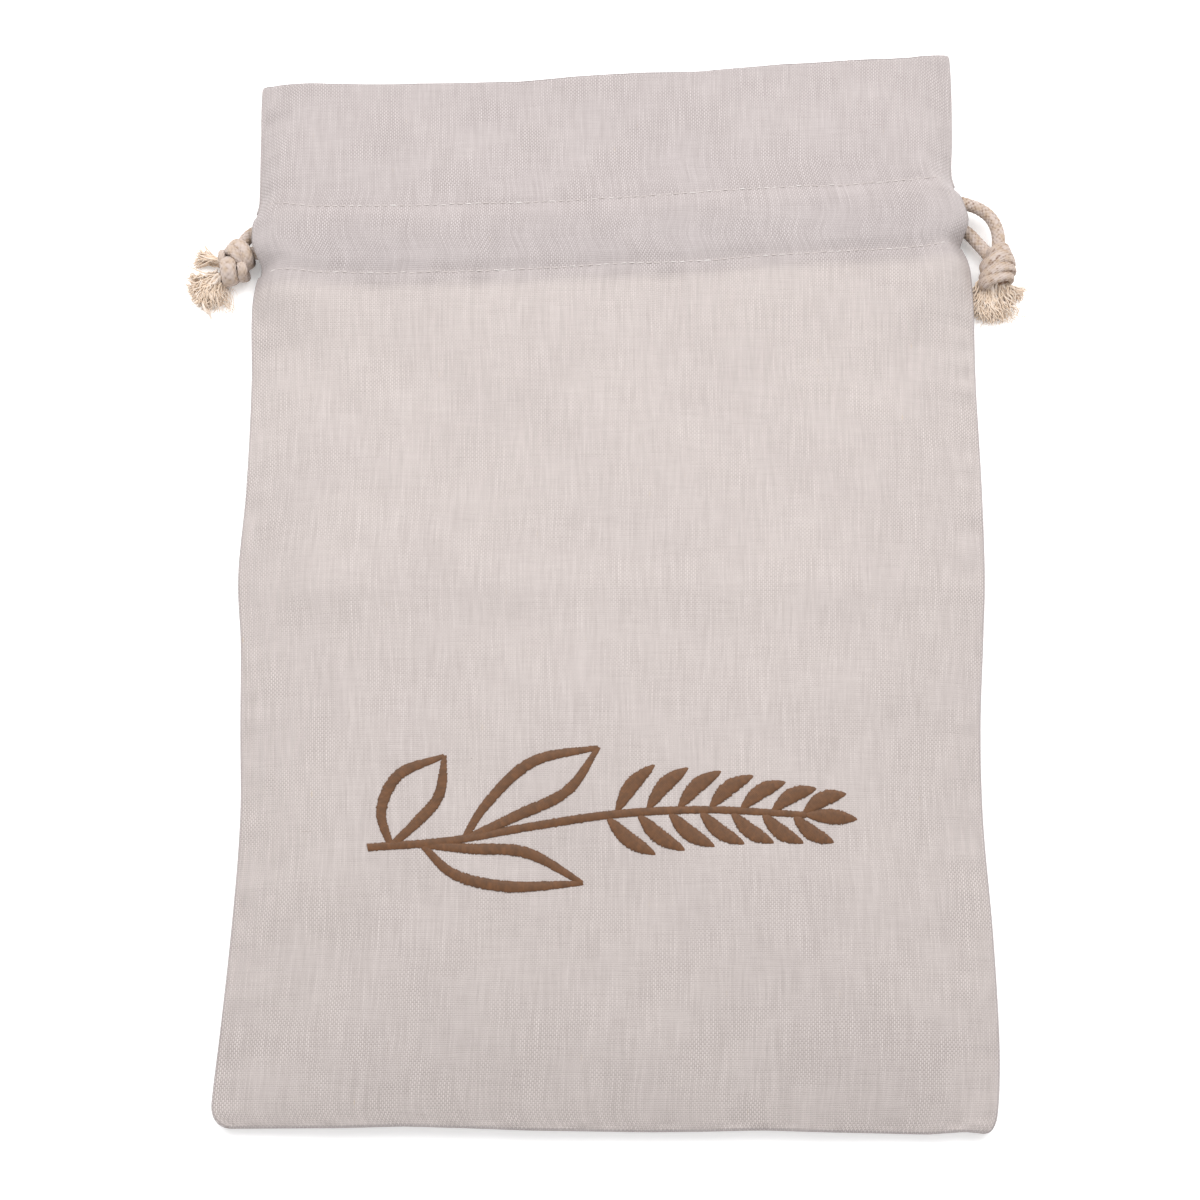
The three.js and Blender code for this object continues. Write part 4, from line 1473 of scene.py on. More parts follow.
@dataclass(frozen=True)
class WheatSprig:
    """An ear of wheat on a stalk with three outlined leaves, worked in satin stitch.

    widths: start, middle and end of the strokes of stalk, leaves and grains; ear_start and
    ear_length: where the grains stand, back from the stalk's top; stagger: how far the two grains
    of a pair stand apart along the stalk; lean and lean_less: a grain's angle from the stalk in
    degrees, and how much less it is at the top; taper: the same for its length; stand_off: its
    start from the stalk's middle; belly and hook: how far its middle and its end stray.

    crown, ridge and sink: height of a stroke in the middle, share of it that is ridges, and depth
    of its edge; clearance: how far its edge lies over mid cloth; full_width: the width from which a
    stroke is at its highest.
    """

    finish: bpy.types.Material
    centre: tuple[float, float] = (2.95, -107.7)
    stalk_widths: tuple[float, float, float] = (3.2, 3.4, 2.6)
    leaf_widths: tuple[float, float, float] = (2.4, 4.6, 1.8)
    grain_widths: tuple[float, float, float] = (1.6, 6.2, 0.7)
    grain_length: float = 23.0
    pairs: int = 7
    ear_start: float = 76.0
    ear_length: float = 72.0
    stagger: float = 4.0
    lean: float = 47.0
    lean_less: float = 15.0
    taper: float = 0.22
    stand_off: float = 1.8
    belly: float = 1.2
    hook: float = 1.0
    pitch: float = 0.5
    jitter: float = 0.05
    crown: float = 0.85
    ridge: float = 0.14
    sink: float = 0.35
    clearance: float = 0.28
    full_width: float = 4.5

    def _grains(self) -> list[SatinStroke]:
        """Grains in pairs along the ear, each leaning out from the stalk, and one at its tip.

        Returns:
            A stroke for each grain.
        """
        route = smooth_route(np.array(STALK))
        total = arc_lengths(route)[-1]
        strokes = []
        for pair in range(self.pairs):
            share = pair / (self.pairs - 1)
            for side in Side:
                station = total - self.ear_start + self.ear_length * share
                station = station + side.value * self.stagger / 2
                root, behind = along(route, np.array([station, station - 6.0]))
                way = unit(root - behind)
                lean = np.radians(self.lean - self.lean_less * share) * side.value
                length = self.grain_length * (1 - self.taper * share)
                turn = np.array([[np.cos(lean), -np.sin(lean)], [np.sin(lean), np.cos(lean)]])
                out = turn @ way
                bent = np.array([-out[1], out[0]]) * -side.value
                start = root + out * self.stand_off
                middle = start + out * length * 0.5 - bent * self.belly
                end = start + out * length + bent * self.hook
                strokes.append(SatinStroke((start, middle, end), *self.grain_widths))
        tip = route[-1]
        way = unit(tip - route[-8])
        strokes.append(SatinStroke((tip, tip + way * 10, tip + way * 20), *self.grain_widths))
        return strokes

    def _work(self, name: str, strokes: list[SatinStroke], seed: int) -> None:
        """Works strokes as closed raised bars of parallel threads.

        Along a stroke the width goes smoothly from start to middle to end. Across it, the top is
        crown * sin(a)^0.6 and the edge dips under the cloth. Each thread is a ridge,
        |sin(pi s n)| for n threads, and has its own reach past the edge and its own tone.

        Args:
            name: the piece's name.
            strokes: its strokes.
            seed: picks the threads' reaches and tones.
        """
        mesh = ThreadMesh()
        rng = np.random.default_rng(seed)
        angle = round_angles(18)
        lift = np.sign(np.sin(angle)) * np.abs(np.sin(angle)) ** 0.6
        for stroke in strokes:
            route = smooth_route(np.array(stroke.points, float)) + np.array(self.centre)
            total = arc_lengths(route)[-1]
            threads = int(total / self.pitch)
            s = np.linspace(0, 1, threads * 4 + 1)
            path = along(route, s * total)
            thread = np.minimum((s * threads).astype(int), threads - 1)
            jag = rng.normal(0, self.jitter, threads)[thread]
            tone = rng.uniform(0, 1, threads)[thread]
            end = np.where(s < 0.5, stroke.start, stroke.end)
            width = end + (stroke.middle - end) * np.sin(np.pi * s) ** 0.8
            ridge = np.abs(np.sin(np.pi * s * threads))
            half = width / 2 * (0.93 + jag + 0.08 * ridge)
            way = unit(np.gradient(path, axis=0))
            side = np.stack([-way[:, 1], way[:, 0]], axis=1)
            offset = -half[:, None] * np.cos(angle)
            slant = 0.25 * np.cos(angle)[None, :]
            place = path[:, None] + side[:, None] * offset[..., None]
            place = place + way[:, None] * slant[..., None]
            high = self.crown * np.minimum(1, width / self.full_width)
            high = high * (1 - self.ridge + self.ridge * ridge)
            body = np.where(lift > 0, lift * high[:, None], lift * self.sink)
            z = SHAPE.front_at(place[..., 0], place[..., 1]) + self.clearance + body
            skin = np.concatenate([place, z[..., None]], axis=-1)
            numbers = np.arange(offset.size).reshape(offset.shape)
            ring = np.concatenate([numbers, numbers[:, :1]], axis=1)
            start = np.full(len(angle), offset.size)
            faces = [
                grid_faces(ring),
                np.stack([start, ring[0, 1:], ring[0, :-1]], axis=1),
                np.stack([start + 1, ring[-1, :-1], ring[-1, 1:]], axis=1),
            ]
            run = np.broadcast_to((s * total)[:, None], offset.shape)
            # Painted shade: darker between the threads and towards the stroke's edge, where it dips
            # under.
            dip = 0.75 * (1 - ridge)[:, None] + 0.5 * (1 - np.clip(lift, 0, 1))[None, :] ** 2
            lot = np.broadcast_to(tone[:, None] * 0.6, offset.shape)
            mesh.add(
                TubeMesh(np.concatenate([skin.reshape(-1, 3), skin[[0, -1]].mean(1)]), faces),
                np.concatenate([np.stack([offset, run], axis=-1).reshape(-1, 2), np.zeros((2, 2))]),
                np.concatenate([np.clip(dip, 0, 1).ravel(), np.ones(2)]),
                np.concatenate([lot.ravel(), np.zeros(2)]),
            )
        mesh.piece(name, "brown_thread", self.finish)

    def build(self) -> None:
        """Makes the leaves, the stalk and the grains."""
        leaves = [SatinStroke(points, *self.leaf_widths) for points in LEAVES]
        self._work("sprig_leaves", leaves, 31)
        self._work("sprig_stalk", [SatinStroke(STALK, *self.stalk_widths)], 32)
        self._work("sprig_grains", self._grains(), 33)


# ---------------------------------------------------------------------------- cords and knots


def braid(run: Array, angle: Array, strands: int, pitch: float) -> Array:
    """Height of a round braid, 0 to 1.

    Two families of strands run round the cord, one each way: a = n angle / 2 pi + run / pitch and
    b = n angle / 2 pi - run / pitch. A strand's section is sqrt(1 - (1.9 f)^2), f being how far its
    count is from the nearest whole number. At each crossing one family rises as the cosine of pi
    times the other's count, its sign turning from strand to strand, and the higher one shows.

    Args:
        run: the distance along the cord.
        angle: the angle round it.
        strands: how many strands each family has.
        pitch: the distance in which a strand comes to its neighbour's place.

    Returns:
        The height at each place.
    """
    lead = strands * angle / (2 * np.pi)
    a = lead + run / pitch
    b = lead - run / pitch
    heights = []
    for own, other, sign in ((a, b, 1), (b, a, -1)):
        near = np.round(own)
        section = np.sqrt(np.clip(1 - (1.9 * (own - near)) ** 2, 0, 1))
        rise = sign * np.cos(np.pi * other) * np.where(near % 2 == 0, 1, -1)
        heights.append(section * (0.62 + 0.38 * rise))
    return np.clip(np.maximum(*heights), 0, 1)


@dataclass(frozen=True)
class Drawcord:
    """A cotton cord that runs through both casings, with both ends out at one side.

    start_out and end_out: how much of its start and of its end is out of the casing; wide and
    high: half width and half height of the braid, high also being the radius inside; fine_step and
    hidden_step: the skin's rows outside and inside; shade and shade_reach: how much darker its
    grooves are where it leaves the casing, and how soon that fades.
    """

    name: str
    node: str
    route: tuple
    start_out: float
    end_out: float
    diameter: float = 5.4
    wide: float = 2.85
    high: float = 2.4
    strands: int = 8
    pitch: float = 2.1
    groove_depth: float = 0.42
    fine_step: float = 0.28
    hidden_step: float = 3.0
    path_step: float = 2.0
    shade: float = 0.8
    shade_reach: float = 9.0
    least_groove: float = 0.06

    def build(self, finish: bpy.types.Material, carried: list) -> None:
        """The cord's skin, an ellipse less the groove depth times (1 - braid height).

        Outside the casing it is braided in full and a little flat, and inside it is a plain round.

        Args:
            finish: its material.
            carried: not used.
        """
        curve = smooth_route(np.array(self.route, float))
        total = arc_lengths(curve)[-1]
        back_out = total - self.end_out
        stations = np.concatenate([
            np.arange(0, self.start_out, self.fine_step),
            np.arange(self.start_out, back_out, self.hidden_step),
            np.linspace(back_out, total, int(self.end_out / self.fine_step) + 1),
        ])
        angle = round_angles(48)
        outside = smooth((self.start_out - stations) / 2) + smooth((stations - back_out) / 2)
        shown = outside[:, None]
        high = braid(stations[:, None], angle[None, :], self.strands, self.pitch)
        dip = self.groove_depth * (1 - high) * shown
        radius = self.high + (self.wide - self.high) * shown - dip
        from_bag = np.minimum(np.abs(stations - self.start_out), np.abs(stations - back_out))
        # Painted shade: the braid's grooves are drawn darker, more so near where the cord goes into
        # the casing.
        dark = (1 + self.shade * np.exp(-from_bag / self.shade_reach))[:, None]
        groove = (dark * (1 - high) + self.least_groove) * shown
        across = (radius * np.cos(angle))[None]
        up = ((self.high - dip) * np.sin(angle))[None]
        tube = tubes(along(curve, stations)[None], across, up, UP)
        run = np.broadcast_to(stations[:, None], radius.shape)[None]
        zero = np.zeros(1)
        ends = stations[:1], stations[-1:]
        flat = with_poles(run, *ends), with_poles((radius * angle)[None], zero, zero)
        groove = with_poles(groove[None], zero, zero)
        mesh = ThreadMesh()
        mesh.add(tube, np.stack(flat, axis=1), groove)
        piece = mesh.piece(self.name, "cotton_cord", finish, self.node)
        path = along(curve, np.arange(0, total, self.path_step)) * MM
        tuple(along(curve, np.array([self.start_out]))[0] * MM)
        LOG.info("%s is %.1f mm long", self.name, total)


class Lay(Enum):
    """How a knot's cord looks: as a braid, or drawn out into fine plies."""

    BRAIDED = "braided"
    PLIED = "plied"


class Wrap(NamedTuple):
    """One turn of flattened cord round a knot.

    points: places of its middle line in plan, from one side of the knot to the other;
    width and thick: its section; high: how far its middle line rises over the knot's middle.
    """

    points: tuple
    width: float
    thick: float
    high: float


def blunted(wave: Array) -> Array:
    """A sine or cosine with its tops broadened: its size to the power 0.8."""
    return np.sign(wave) * np.abs(wave) ** 0.8


@dataclass(frozen=True)
class Knot:
    """An overhand knot drawn tight.

    heading: the way that its core lies, in degrees; core: half sizes of the core; low: how far
    the turns sink under the knot's middle; braid_repeat: the distance in which the braid repeats,
    before it is fitted to a turn's length.
    """

    name: str
    node: str
    centre: tuple[float, float, float]
    heading: float
    lay: Lay
    wraps: tuple[Wrap, ...]
    core: tuple[float, float, float]
    low: float = 4.0
    strands: int = 8
    braid_repeat: float = 4.0

    def build(self, finish: bpy.types.Material) -> bpy.types.Object:
        """Wraps as closed rings of flattened cord about a core painted dark as shade.

        Args:
            finish: the cord's material.

        Returns:
            The new piece.
        """
        mesh = ThreadMesh()
        for wrap in self.wraps:
            self._turn(wrap, mesh)
        self._core(mesh)
        return mesh.piece(self.name, "cotton_cord", finish, self.node)

    def _lay(self, stations: Array, angle: Array, t: Array, length: float) -> tuple:
        """The relief of a turn's surface.

        Args:
            stations: distances along the turn, in a column.
            angle: angles round its section.
            t: the angle of the way round the knot, in a column.
            length: the turn's whole length.

        Returns:
            The height of the lay, 0 to 1, the depth of its grooves and how dark their painted shade
            is.
        """
        if self.lay is Lay.BRAIDED:
            pitch = length / (2 * round(length / self.braid_repeat))
            return braid(stations, angle, self.strands, pitch), 0.4, 0.8
        ply = np.abs(np.cos(8 * angle + 7 * t + 0.7 * np.sin(2 * t)))
        fold = np.abs(np.cos(2 * angle + 1.0 * t))
        return 0.6 * ply**0.7 + 0.4 * fold**0.5, 0.42, 1.4

    def _turn(self, wrap: Wrap, mesh: ThreadMesh) -> None:
        """Adds one closed ring to the mesh.

        In plan it goes to and fro along its line, its share of the way being (1 - cos t) / 2. Its
        height is that of the knot's middle plus rise * sin t, with one rise above and another
        below. Its section is a rounded oblong less a shallow lay of the fibres.

        Args:
            wrap: the turn.
            mesh: what it is added to.
        """
        line = smooth_route(np.array(wrap.points, float))
        run = arc_lengths(line)
        t = np.linspace(-np.pi / 2, 3 * np.pi / 2, 201)[:-1]
        inner = run[-1] - wrap.thick
        plan = along(line, wrap.thick / 2 + inner * (1 - np.cos(t)) / 2)
        rise = np.where(np.sin(t) > 0, wrap.high, self.low) * np.sin(t)
        path = np.column_stack([plan, self.centre[2] + rise])
        way = unit(line[-1] - line[0])
        out = np.column_stack([-np.outer(np.cos(t), way) / (inner / 2), np.sin(t) / wrap.high])
        angle = round_angles(48)
        length = arc_lengths(np.vstack([path, path[:1]]))
        stations = length[:-1, None]
        high, depth, dark = self._lay(stations, angle[None, :], t[:, None], length[-1])
        across = (wrap.width / 2 - depth * (1 - high)) * blunted(np.cos(angle))
        up = (wrap.thick / 2 - depth * (1 - high)) * blunted(np.sin(angle))
        tube = tubes(path[None], across[None], up[None], unit(out)[None], closed=True)
        around = np.broadcast_to(wrap.width / 2 * angle, across.shape)
        flat = np.stack([np.broadcast_to(stations, across.shape).ravel(), around.ravel()], axis=1)
        # Painted shade: the lay's grooves and the turn's edges, where it lies against the next
        # turn, are drawn darker.
        edge = np.broadcast_to(np.abs(np.cos(angle)) ** 6, across.shape)
        groove = np.clip(dark * (1 - high) + 0.3 * edge, 0, 1.3)
        mesh.add(tube, flat, groove.ravel())

    def _core(self, mesh: ThreadMesh) -> None:
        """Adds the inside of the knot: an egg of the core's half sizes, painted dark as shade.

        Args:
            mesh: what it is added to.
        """
        turn = np.radians(self.heading)
        ahead = np.array([np.cos(turn), np.sin(turn), 0.0])
        share = np.linspace(0.06, np.pi - 0.06, 20)
        angle = round_angles(24)
        path = np.array(self.centre) - ahead * (self.core[0] * np.cos(share))[:, None]
        across = (self.core[1] * np.sin(share)[:, None] * np.cos(angle))[None]
        rise = (self.core[2] * np.sin(share)[:, None] * np.sin(angle))[None]
        tube = tubes(path[None], across, rise, UP)
        mesh.add(tube, tube.points[:, :2], np.full(len(tube), 1.6))


@dataclass(frozen=True)
class Bunch:
    """Yarns that leave one root together.

    fan: how far their headings spread, in degrees; spread: how far apart they start; curl: the
    size of their waves; turns: the most waves in a yarn; warm: how far their colours vary.
    """

    root: tuple[float, float, float]
    heading: float
    fan: float
    count: int
    length: float
    radius: float
    spread: float = 2.6
    curl: float = 0.9
    turns: float = 1.8
    warm: float = 0.9


@dataclass(frozen=True)
class Tassel:
    """The frayed ends of a cord past its knot.

    tip_low and tip_range: the least height of the yarns' tips, and how much higher they may lie;
    fall: the power by which a yarn falls to its tip; floor_gap: its least distance from the floor;
    taper: how much thinner its tip is; ply_depth and ply_twist: relief and twist of its two plies;
    floor_shade: the painted shade on it where it lies on the floor, less the height over the floor
    by floor_shade_height; root_dark: the painted shade on it at its root.
    """

    name: str
    node: str
    bunches: tuple[Bunch, ...]
    seed: int
    tip_low: float = 0.4
    tip_range: float = 3.2
    fall: float = 1.6
    floor_gap: float = 0.15
    taper: float = 0.55
    ply_depth: float = 0.16
    ply_twist: float = 0.8
    floor_shade: float = 0.36
    floor_shade_height: float = 10.0
    root_dark: float = 0.34

    def build(self, finish: bpy.types.Material) -> bpy.types.Object:
        """Fans of tapering, waving yarns.

        A yarn leaves its root at its own heading and turns as it goes. Its place is root + length *
        s along the heading, with waves of curl * s to the side, and it falls from the root's
        height to its tip's as (1 - s)^fall.

        Args:
            finish: the yarns' material.

        Returns:
            The new piece.
        """
        mesh = ThreadMesh()
        rng = np.random.default_rng(self.seed)
        for bunch in self.bunches:
            self._bunch(bunch, rng, mesh)
        return mesh.piece(self.name, "frayed_yarn", finish, self.node)

    def _bunch(self, bunch: Bunch, rng: np.random.Generator, mesh: ThreadMesh) -> None:
        """Adds one bunch's yarns.

        Args:
            bunch: the bunch.
            rng: where their differences are drawn from.
            mesh: what they are added to.
        """
        count = bunch.count
        s = np.linspace(0, 1, 19)[None, :]

        def draw(low: float, high: float) -> Array:
            """One random number for each yarn."""
            return rng.uniform(low, high, count)[:, None]

        aside = np.clip(rng.normal(0, 0.45, count), -1, 1)[:, None]
        heading = np.radians(bunch.heading) + np.radians(bunch.fan) * aside + draw(-0.15, 0.15)
        length = bunch.length * draw(0.74, 1.0) * (1 - 0.12 * np.abs(aside))
        bend = draw(-0.5, 0.5)
        turned = heading + bend * s
        turns = draw(0.7, bunch.turns)
        start = draw(0, 1)
        wave = bunch.curl * draw(0.35, 1.0) * s**0.45 * np.sin(2 * np.pi * (turns * s + start))
        lie = np.radians(bunch.heading)
        spread = bunch.spread * (aside * 0.9 + draw(-0.35, 0.35))
        run = length * s
        x = bunch.root[0] - np.sin(lie) * spread + run * np.cos(turned) - wave * np.sin(turned)
        y = bunch.root[1] + np.cos(lie) * spread + run * np.sin(turned) + wave * np.cos(turned)
        root_z = bunch.root[2] * draw(0.25, 1.25)
        tip_z = self.tip_low + draw(0.0, 1.0) ** 2 * self.tip_range
        lift = draw(-0.5, 1.3) * np.sin(np.pi * s)
        roll = 0.6 * bunch.curl * s * np.cos(2 * np.pi * (turns * s + start))
        z = tip_z + (root_z - tip_z) * (1 - s) ** self.fall + lift + roll
        radius = bunch.radius * draw(0.75, 1.2) * (1 - self.taper * s**3)
        z = np.maximum(z, radius + self.floor_gap)
        path = np.stack([x, y, z], axis=-1)
        angle = round_angles(6)
        twisted = angle + (run / bunch.radius * self.ply_twist)[..., None]
        ply = 1 + self.ply_depth * np.cos(2 * twisted)
        across = radius[..., None] * np.cos(angle) * ply
        up = radius[..., None] * np.sin(angle) * ply
        tube = tubes(path, across, up, UP)
        zero = np.zeros(count)
        along_yarn = np.broadcast_to(run[..., None], across.shape)
        round_yarn = np.broadcast_to(angle * 0.4, across.shape)
        round_yarn = round_yarn + np.arange(count)[:, None, None]
        flat = with_poles(along_yarn, zero, length[:, 0]), with_poles(round_yarn, zero, zero)
        # Painted shade: a yarn is drawn darker the nearer it lies to the floor, and near its root
        # under the knot.
        depth = np.clip(self.floor_shade - z / self.floor_shade_height, 0, self.floor_shade)
        depth = depth + self.root_dark * (1 - s) ** 2
        dip = with_poles(np.broadcast_to(depth[..., None], across.shape), zero + 0.6, zero)
        tone = np.broadcast_to((bunch.warm * draw(0.0, 1.0) ** 0.8)[..., None], across.shape)
        lot = with_poles(tone, zero, zero)
        mesh.add(tube, np.stack(flat, axis=1), dip, lot)


# The routes of the two cords, from the knot into the front casing, across, round, back through the
# back casing and out to the knot again.
FRONT_Z = 16.2
BACK_Z = 3.8
RIGHT_ROUTE = (
    (163.6, 132.5, 6.8), (163.7, 137.0, 6.8), (163.9, 141.0, 7.0), (163.1, 146.0, 7.2),
    (160.6, 150.8, 7.4), (156.2, 154.2, 7.9), (150.4, 155.8, 9.2), (144.0, 156.0, 11.3),
    (136.0, 155.5, 14.1), (126.0, 155.0, FRONT_Z), (100.0, 153.3, FRONT_Z), (50.0, 150.2, FRONT_Z),
    (0.0, 147.7, FRONT_Z), (-50.0, 145.7, FRONT_Z), (-100.0, 144.3, FRONT_Z),
    (-122.0, 143.8, FRONT_Z), (-131.0, 143.6, 16.0), (-137.6, 141.6, 14.2), (-140.4, 136.7, 10.0),
    (-137.6, 131.8, 5.8), (-131.0, 129.8, 4.0), (-122.0, 129.8, BACK_Z), (-100.0, 130.3, BACK_Z),
    (-50.0, 131.7, BACK_Z), (0.0, 133.7, BACK_Z), (50.0, 136.2, BACK_Z), (100.0, 139.6, BACK_Z),
    (122.0, 142.6, BACK_Z), (136.0, 146.0, BACK_Z), (143.5, 147.3, 4.1), (148.6, 146.7, 4.5),
    (152.2, 143.6, 4.9), (155.0, 139.9, 5.3), (157.2, 137.0, 5.6), (159.3, 133.9, 5.9),
    (161.2, 130.5, 6.2),
)
LEFT_ROUTE = (
    (-155.6, 133.4, 6.2), (-151.2, 134.4, 6.6), (-146.6, 133.6, 7.8), (-141.0, 131.6, 10.2),
    (-135.5, 130.3, 12.8), (-126.0, 129.7, FRONT_Z), (-100.0, 130.3, FRONT_Z),
    (-50.0, 131.7, FRONT_Z), (0.0, 133.7, FRONT_Z), (50.0, 136.2, FRONT_Z),
    (100.0, 139.3, FRONT_Z), (122.0, 140.8, FRONT_Z), (131.0, 141.5, 16.0), (137.6, 143.5, 14.2),
    (140.4, 148.4, 10.0), (137.6, 153.4, 5.8), (131.0, 155.3, 4.0), (122.0, 154.9, BACK_Z),
    (100.0, 153.3, BACK_Z), (50.0, 150.2, BACK_Z), (0.0, 147.7, BACK_Z), (-50.0, 145.7, BACK_Z),
    (-100.0, 144.3, BACK_Z), (-132.0, 144.8, BACK_Z), (-141.0, 145.9, 3.9), (-147.0, 146.0, 4.4),
    (-151.2, 144.3, 5.2), (-153.6, 141.9, 5.8), (-155.2, 139.2, 6.2), (-156.6, 136.2, 6.4),
)


RIGHT_WRAPS = (
    Wrap(((158.2, 131.0), (161.2, 133.4), (165.2, 135.0), (169.0, 133.6)), 5.4, 3.4, 4.2),
    Wrap(
        ((155.5, 126.6), (159.3, 128.4), (162.8, 130.3), (166.3, 130.9), (170.4, 129.4)),
        6.2, 3.4, 5.4,
    ),
    Wrap(
        ((155.2, 121.6), (157.9, 123.4), (161.0, 124.8), (164.5, 126.2), (170.6, 127.0)),
        5.2, 3.2, 5.3,
    ),
    Wrap(
        ((154.6, 119.9), (157.9, 120.4), (161.4, 121.4), (164.9, 122.6), (169.6, 123.8)),
        5.0, 3.2, 4.7,
    ),
)
LEFT_WRAPS = (
    Wrap(
        (
            (-161.8, 136.0), (-159.0, 137.2), (-155.9, 136.2), (-153.5, 133.5), (-152.6, 130.2),
            (-153.6, 127.2),
        ),
        5.4, 3.4, 4.6,
    ),
    Wrap(
        ((-163.2, 134.2), (-160.8, 134.5), (-158.3, 132.8), (-156.3, 130.5), (-154.3, 127.6)),
        4.4, 3.4, 5.4,
    ),
    Wrap(
        ((-162.6, 132.4), (-160.9, 129.4), (-160.3, 125.6), (-159.9, 122.2), (-159.0, 120.0)),
        7.0, 3.4, 4.9,
    ),
    Wrap(((-156.4, 130.0), (-155.0, 127.6), (-154.3, 124.8), (-155.6, 122.0)), 4.4, 3.0, 4.4),
    Wrap(((-162.0, 135.6), (-163.3, 133.4), (-163.4, 130.4), (-162.9, 127.2)), 3.2, 3.0, 3.7),
)
RIGHT_BUNCHES = (
    Bunch((161.0, 121.4, 5.4), -104.0, 19.0, 330, 17.4, 0.28, 5.0, 1.5, 3.2),
    Bunch((161.0, 121.4, 7.2), -101.0, 28.0, 16, 11.0, 0.70, 5.0, 1.8, 1.8, 0.1),
    Bunch((166.4, 121.8, 4.8), -40.0, 9.0, 60, 10.0, 0.28, 1.7, 1.0, 2.4),
    Bunch((162.0, 120.0, 4.4), -92.0, 52.0, 70, 19.5, 0.10, 5.0, 2.2, 2.2, 0.3),
)
LEFT_BUNCHES = (
    Bunch((-165.2, 123.6, 5.2), -148.0, 20.0, 280, 14.8, 0.28, 3.2, 1.4, 3.2),
    Bunch((-164.0, 121.4, 4.8), -114.0, 12.0, 70, 9.4, 0.28, 2.0, 1.2, 2.6),
    Bunch((-164.4, 124.4, 6.6), -146.0, 26.0, 14, 10.5, 0.70, 3.4, 1.8, 1.8, 0.1),
    Bunch((-164.8, 131.6, 5.6), 160.0, 4.0, 90, 13.2, 0.28, 1.4, 0.7, 2.4),
    Bunch((-169.6, 117.6, 2.6), -118.0, 8.0, 3, 11.0, 0.62, 0.8, 1.6, 1.0, 0.2),
    Bunch((-163.6, 121.8, 4.4), -110.0, 36.0, 60, 15.0, 0.10, 4.0, 2.0, 2.2, 0.3),
)


@dataclass(frozen=True)
class CordEnds:
    """Both drawcords with their knots and frayed ends."""

    cord_finish: bpy.types.Material
    yarn_finish: bpy.types.Material

    def build(self) -> None:
        """Makes the knots and the frayed ends, and then the cords."""
        knots = [
            Knot(
                "knot_turns_right", "knot_right", (163.0, 127.0, 6.4), -78.0, Lay.PLIED,
                RIGHT_WRAPS, (7.0, 6.4, 4.4),
            ),
            Knot(
                "knot_turns_left", "knot_left", (-158.2, 129.2, 6.2), -118.0, Lay.BRAIDED,
                LEFT_WRAPS, (8.4, 5.2, 4.2),
            ),
        ]
        tassels = [
            Tassel("frayed_yarns_right", "tassel_right", RIGHT_BUNCHES, 51),
            Tassel("frayed_yarns_left", "tassel_left", LEFT_BUNCHES, 52),
        ]
        cords = [
            Drawcord("cord_right", "drawcord_right", RIGHT_ROUTE, 36.0, 30.0),
            Drawcord("cord_left", "drawcord_left", LEFT_ROUTE, 17.0, 22.0),
        ]
        tied = [knot.build(self.cord_finish) for knot in knots]
        frayed = [tassel.build(self.yarn_finish) for tassel in tassels]
        for cord, *carried in zip(cords, tied, frayed):
            cord.build(self.cord_finish, carried)


# ---------------------------------------------------------------------------- stage


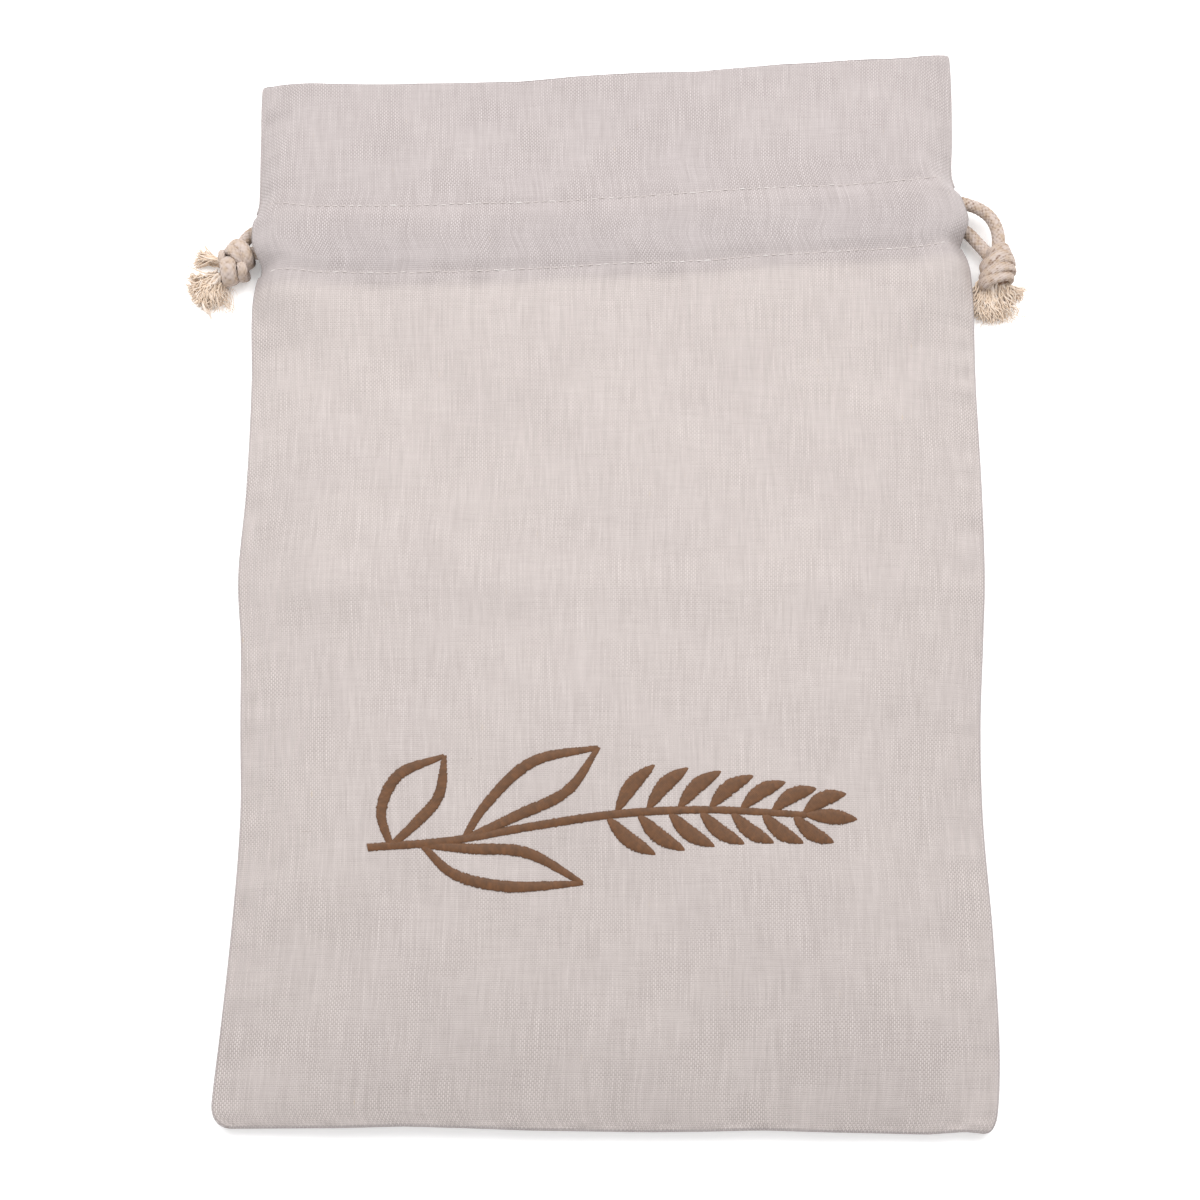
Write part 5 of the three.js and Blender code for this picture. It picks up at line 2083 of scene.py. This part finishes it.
@dataclass(frozen=True)
class Studio:
    """The floor, the surround, the two lights and the camera, in metres.

    light_aside, light_back, light_rise: the lights' place from the origin, which they face;
    floor_reach: half the floor's width, and floor_drop: its depth under the bag, in millimetres.
    """

    floor_reach: float = 3000.0
    floor_drop: float = 0.12
    light_aside: float = 0.5
    light_back: float = 0.5
    light_rise: float = 0.85
    light_size: float = 0.8
    light_power: float = 6.9
    aim: tuple[float, float, float] = (-0.0045, -0.01565, 0.0)
    back_off: float = 0.2355
    rise: float = 0.8407
    lens: float = 64.5
    sensor: float = 36.0
    sky: float = 0.82

    def build(self) -> None:
        """Makes the whole stage."""
        self._floor()
        self._sky()
        for side in Side:
            self._light(side)
        self._camera()

    def _floor(self) -> None:
        """A large level plate just under the bag."""
        corners = np.array([(-1, -1), (1, -1), (1, 1), (-1, 1)]) * self.floor_reach
        points = np.column_stack([corners, np.full(4, -self.floor_drop)])
        floor = new_piece("floor", points, [np.array([[0, 1, 2, 3]])])
        floor.data.materials.append(FloorFinish().material())

    def _sky(self) -> None:
        """An even white surround."""
        world = bpy.data.worlds.new("surround")
        world.use_nodes = True
        background = world.node_tree.nodes["Background"]
        set_inputs(background, {"Color": WHITE, "Strength": self.sky})
        bpy.context.scene.world = world

    def _light(self, side: Side) -> None:
        """A square soft light over the mouth's end, facing the origin.

        Args:
            side: the side on which it stands.
        """
        name = "key_" + side.name.lower()
        data = bpy.data.lights.new(name, "AREA")
        data.shape = "SQUARE"
        data.size = self.light_size
        data.energy = self.light_power
        lamp = new_object(name, data)
        place = Vector((side.value * self.light_aside, self.light_back, self.light_rise))
        lamp.location = place
        lamp.rotation_euler = (-place).to_track_quat("-Z", "Y").to_euler()

    def _camera(self) -> None:
        """The camera over the bag, a little towards its foot, with the whole bag in view."""
        data = bpy.data.cameras.new("camera")
        data.lens = self.lens
        data.sensor_width = self.sensor
        camera = new_object("camera", data)
        aim = Vector(self.aim)
        camera.location = aim + Vector((0.0, -self.back_off, self.rise))
        camera.rotation_euler = (aim - camera.location).to_track_quat("-Z", "Y").to_euler()
        bpy.context.scene.camera = camera
        bpy.context.scene.view_settings.view_transform = "Standard"


def main() -> None:
    """Builds the stage, the cords, the cloth, the sewing and the embroidery, in that order.
    """
    logging.basicConfig(level=logging.INFO, format="%(name)s: %(message)s")
    Studio().build()
    linen = LinenFinish("linen", build_weave_group(), build_fleck_group()).material()
    fibres = build_fibre_group()
    glossy = Surface(roughness=0.5, sheen=0.25, specular=0.35)
    cotton, yarn, white, brown = (
        FibreFinish(name, fibres, *(linear(*tone) for tone in tones), surface).material()
        for name, surface, tones in (
            ("cotton_cord", Surface(), ((189, 175, 167), (178, 158, 140), (108, 82, 64))),
            ("frayed_yarn", Surface(), ((226, 214, 204), (219, 198, 176), (170, 145, 124))),
            ("white_thread", Surface(), ((218, 214, 212), (186, 177, 174), (166, 157, 152))),
            ("brown_thread", glossy, ((108, 69, 36), (88, 55, 25), (43, 25, 11))),
        )
    )
    CordEnds(cotton, yarn).build()
    Cloth(linen).build()
    Sewing(white).build()
    WheatSprig(brown).build()


if __name__ == "__main__":
    main()
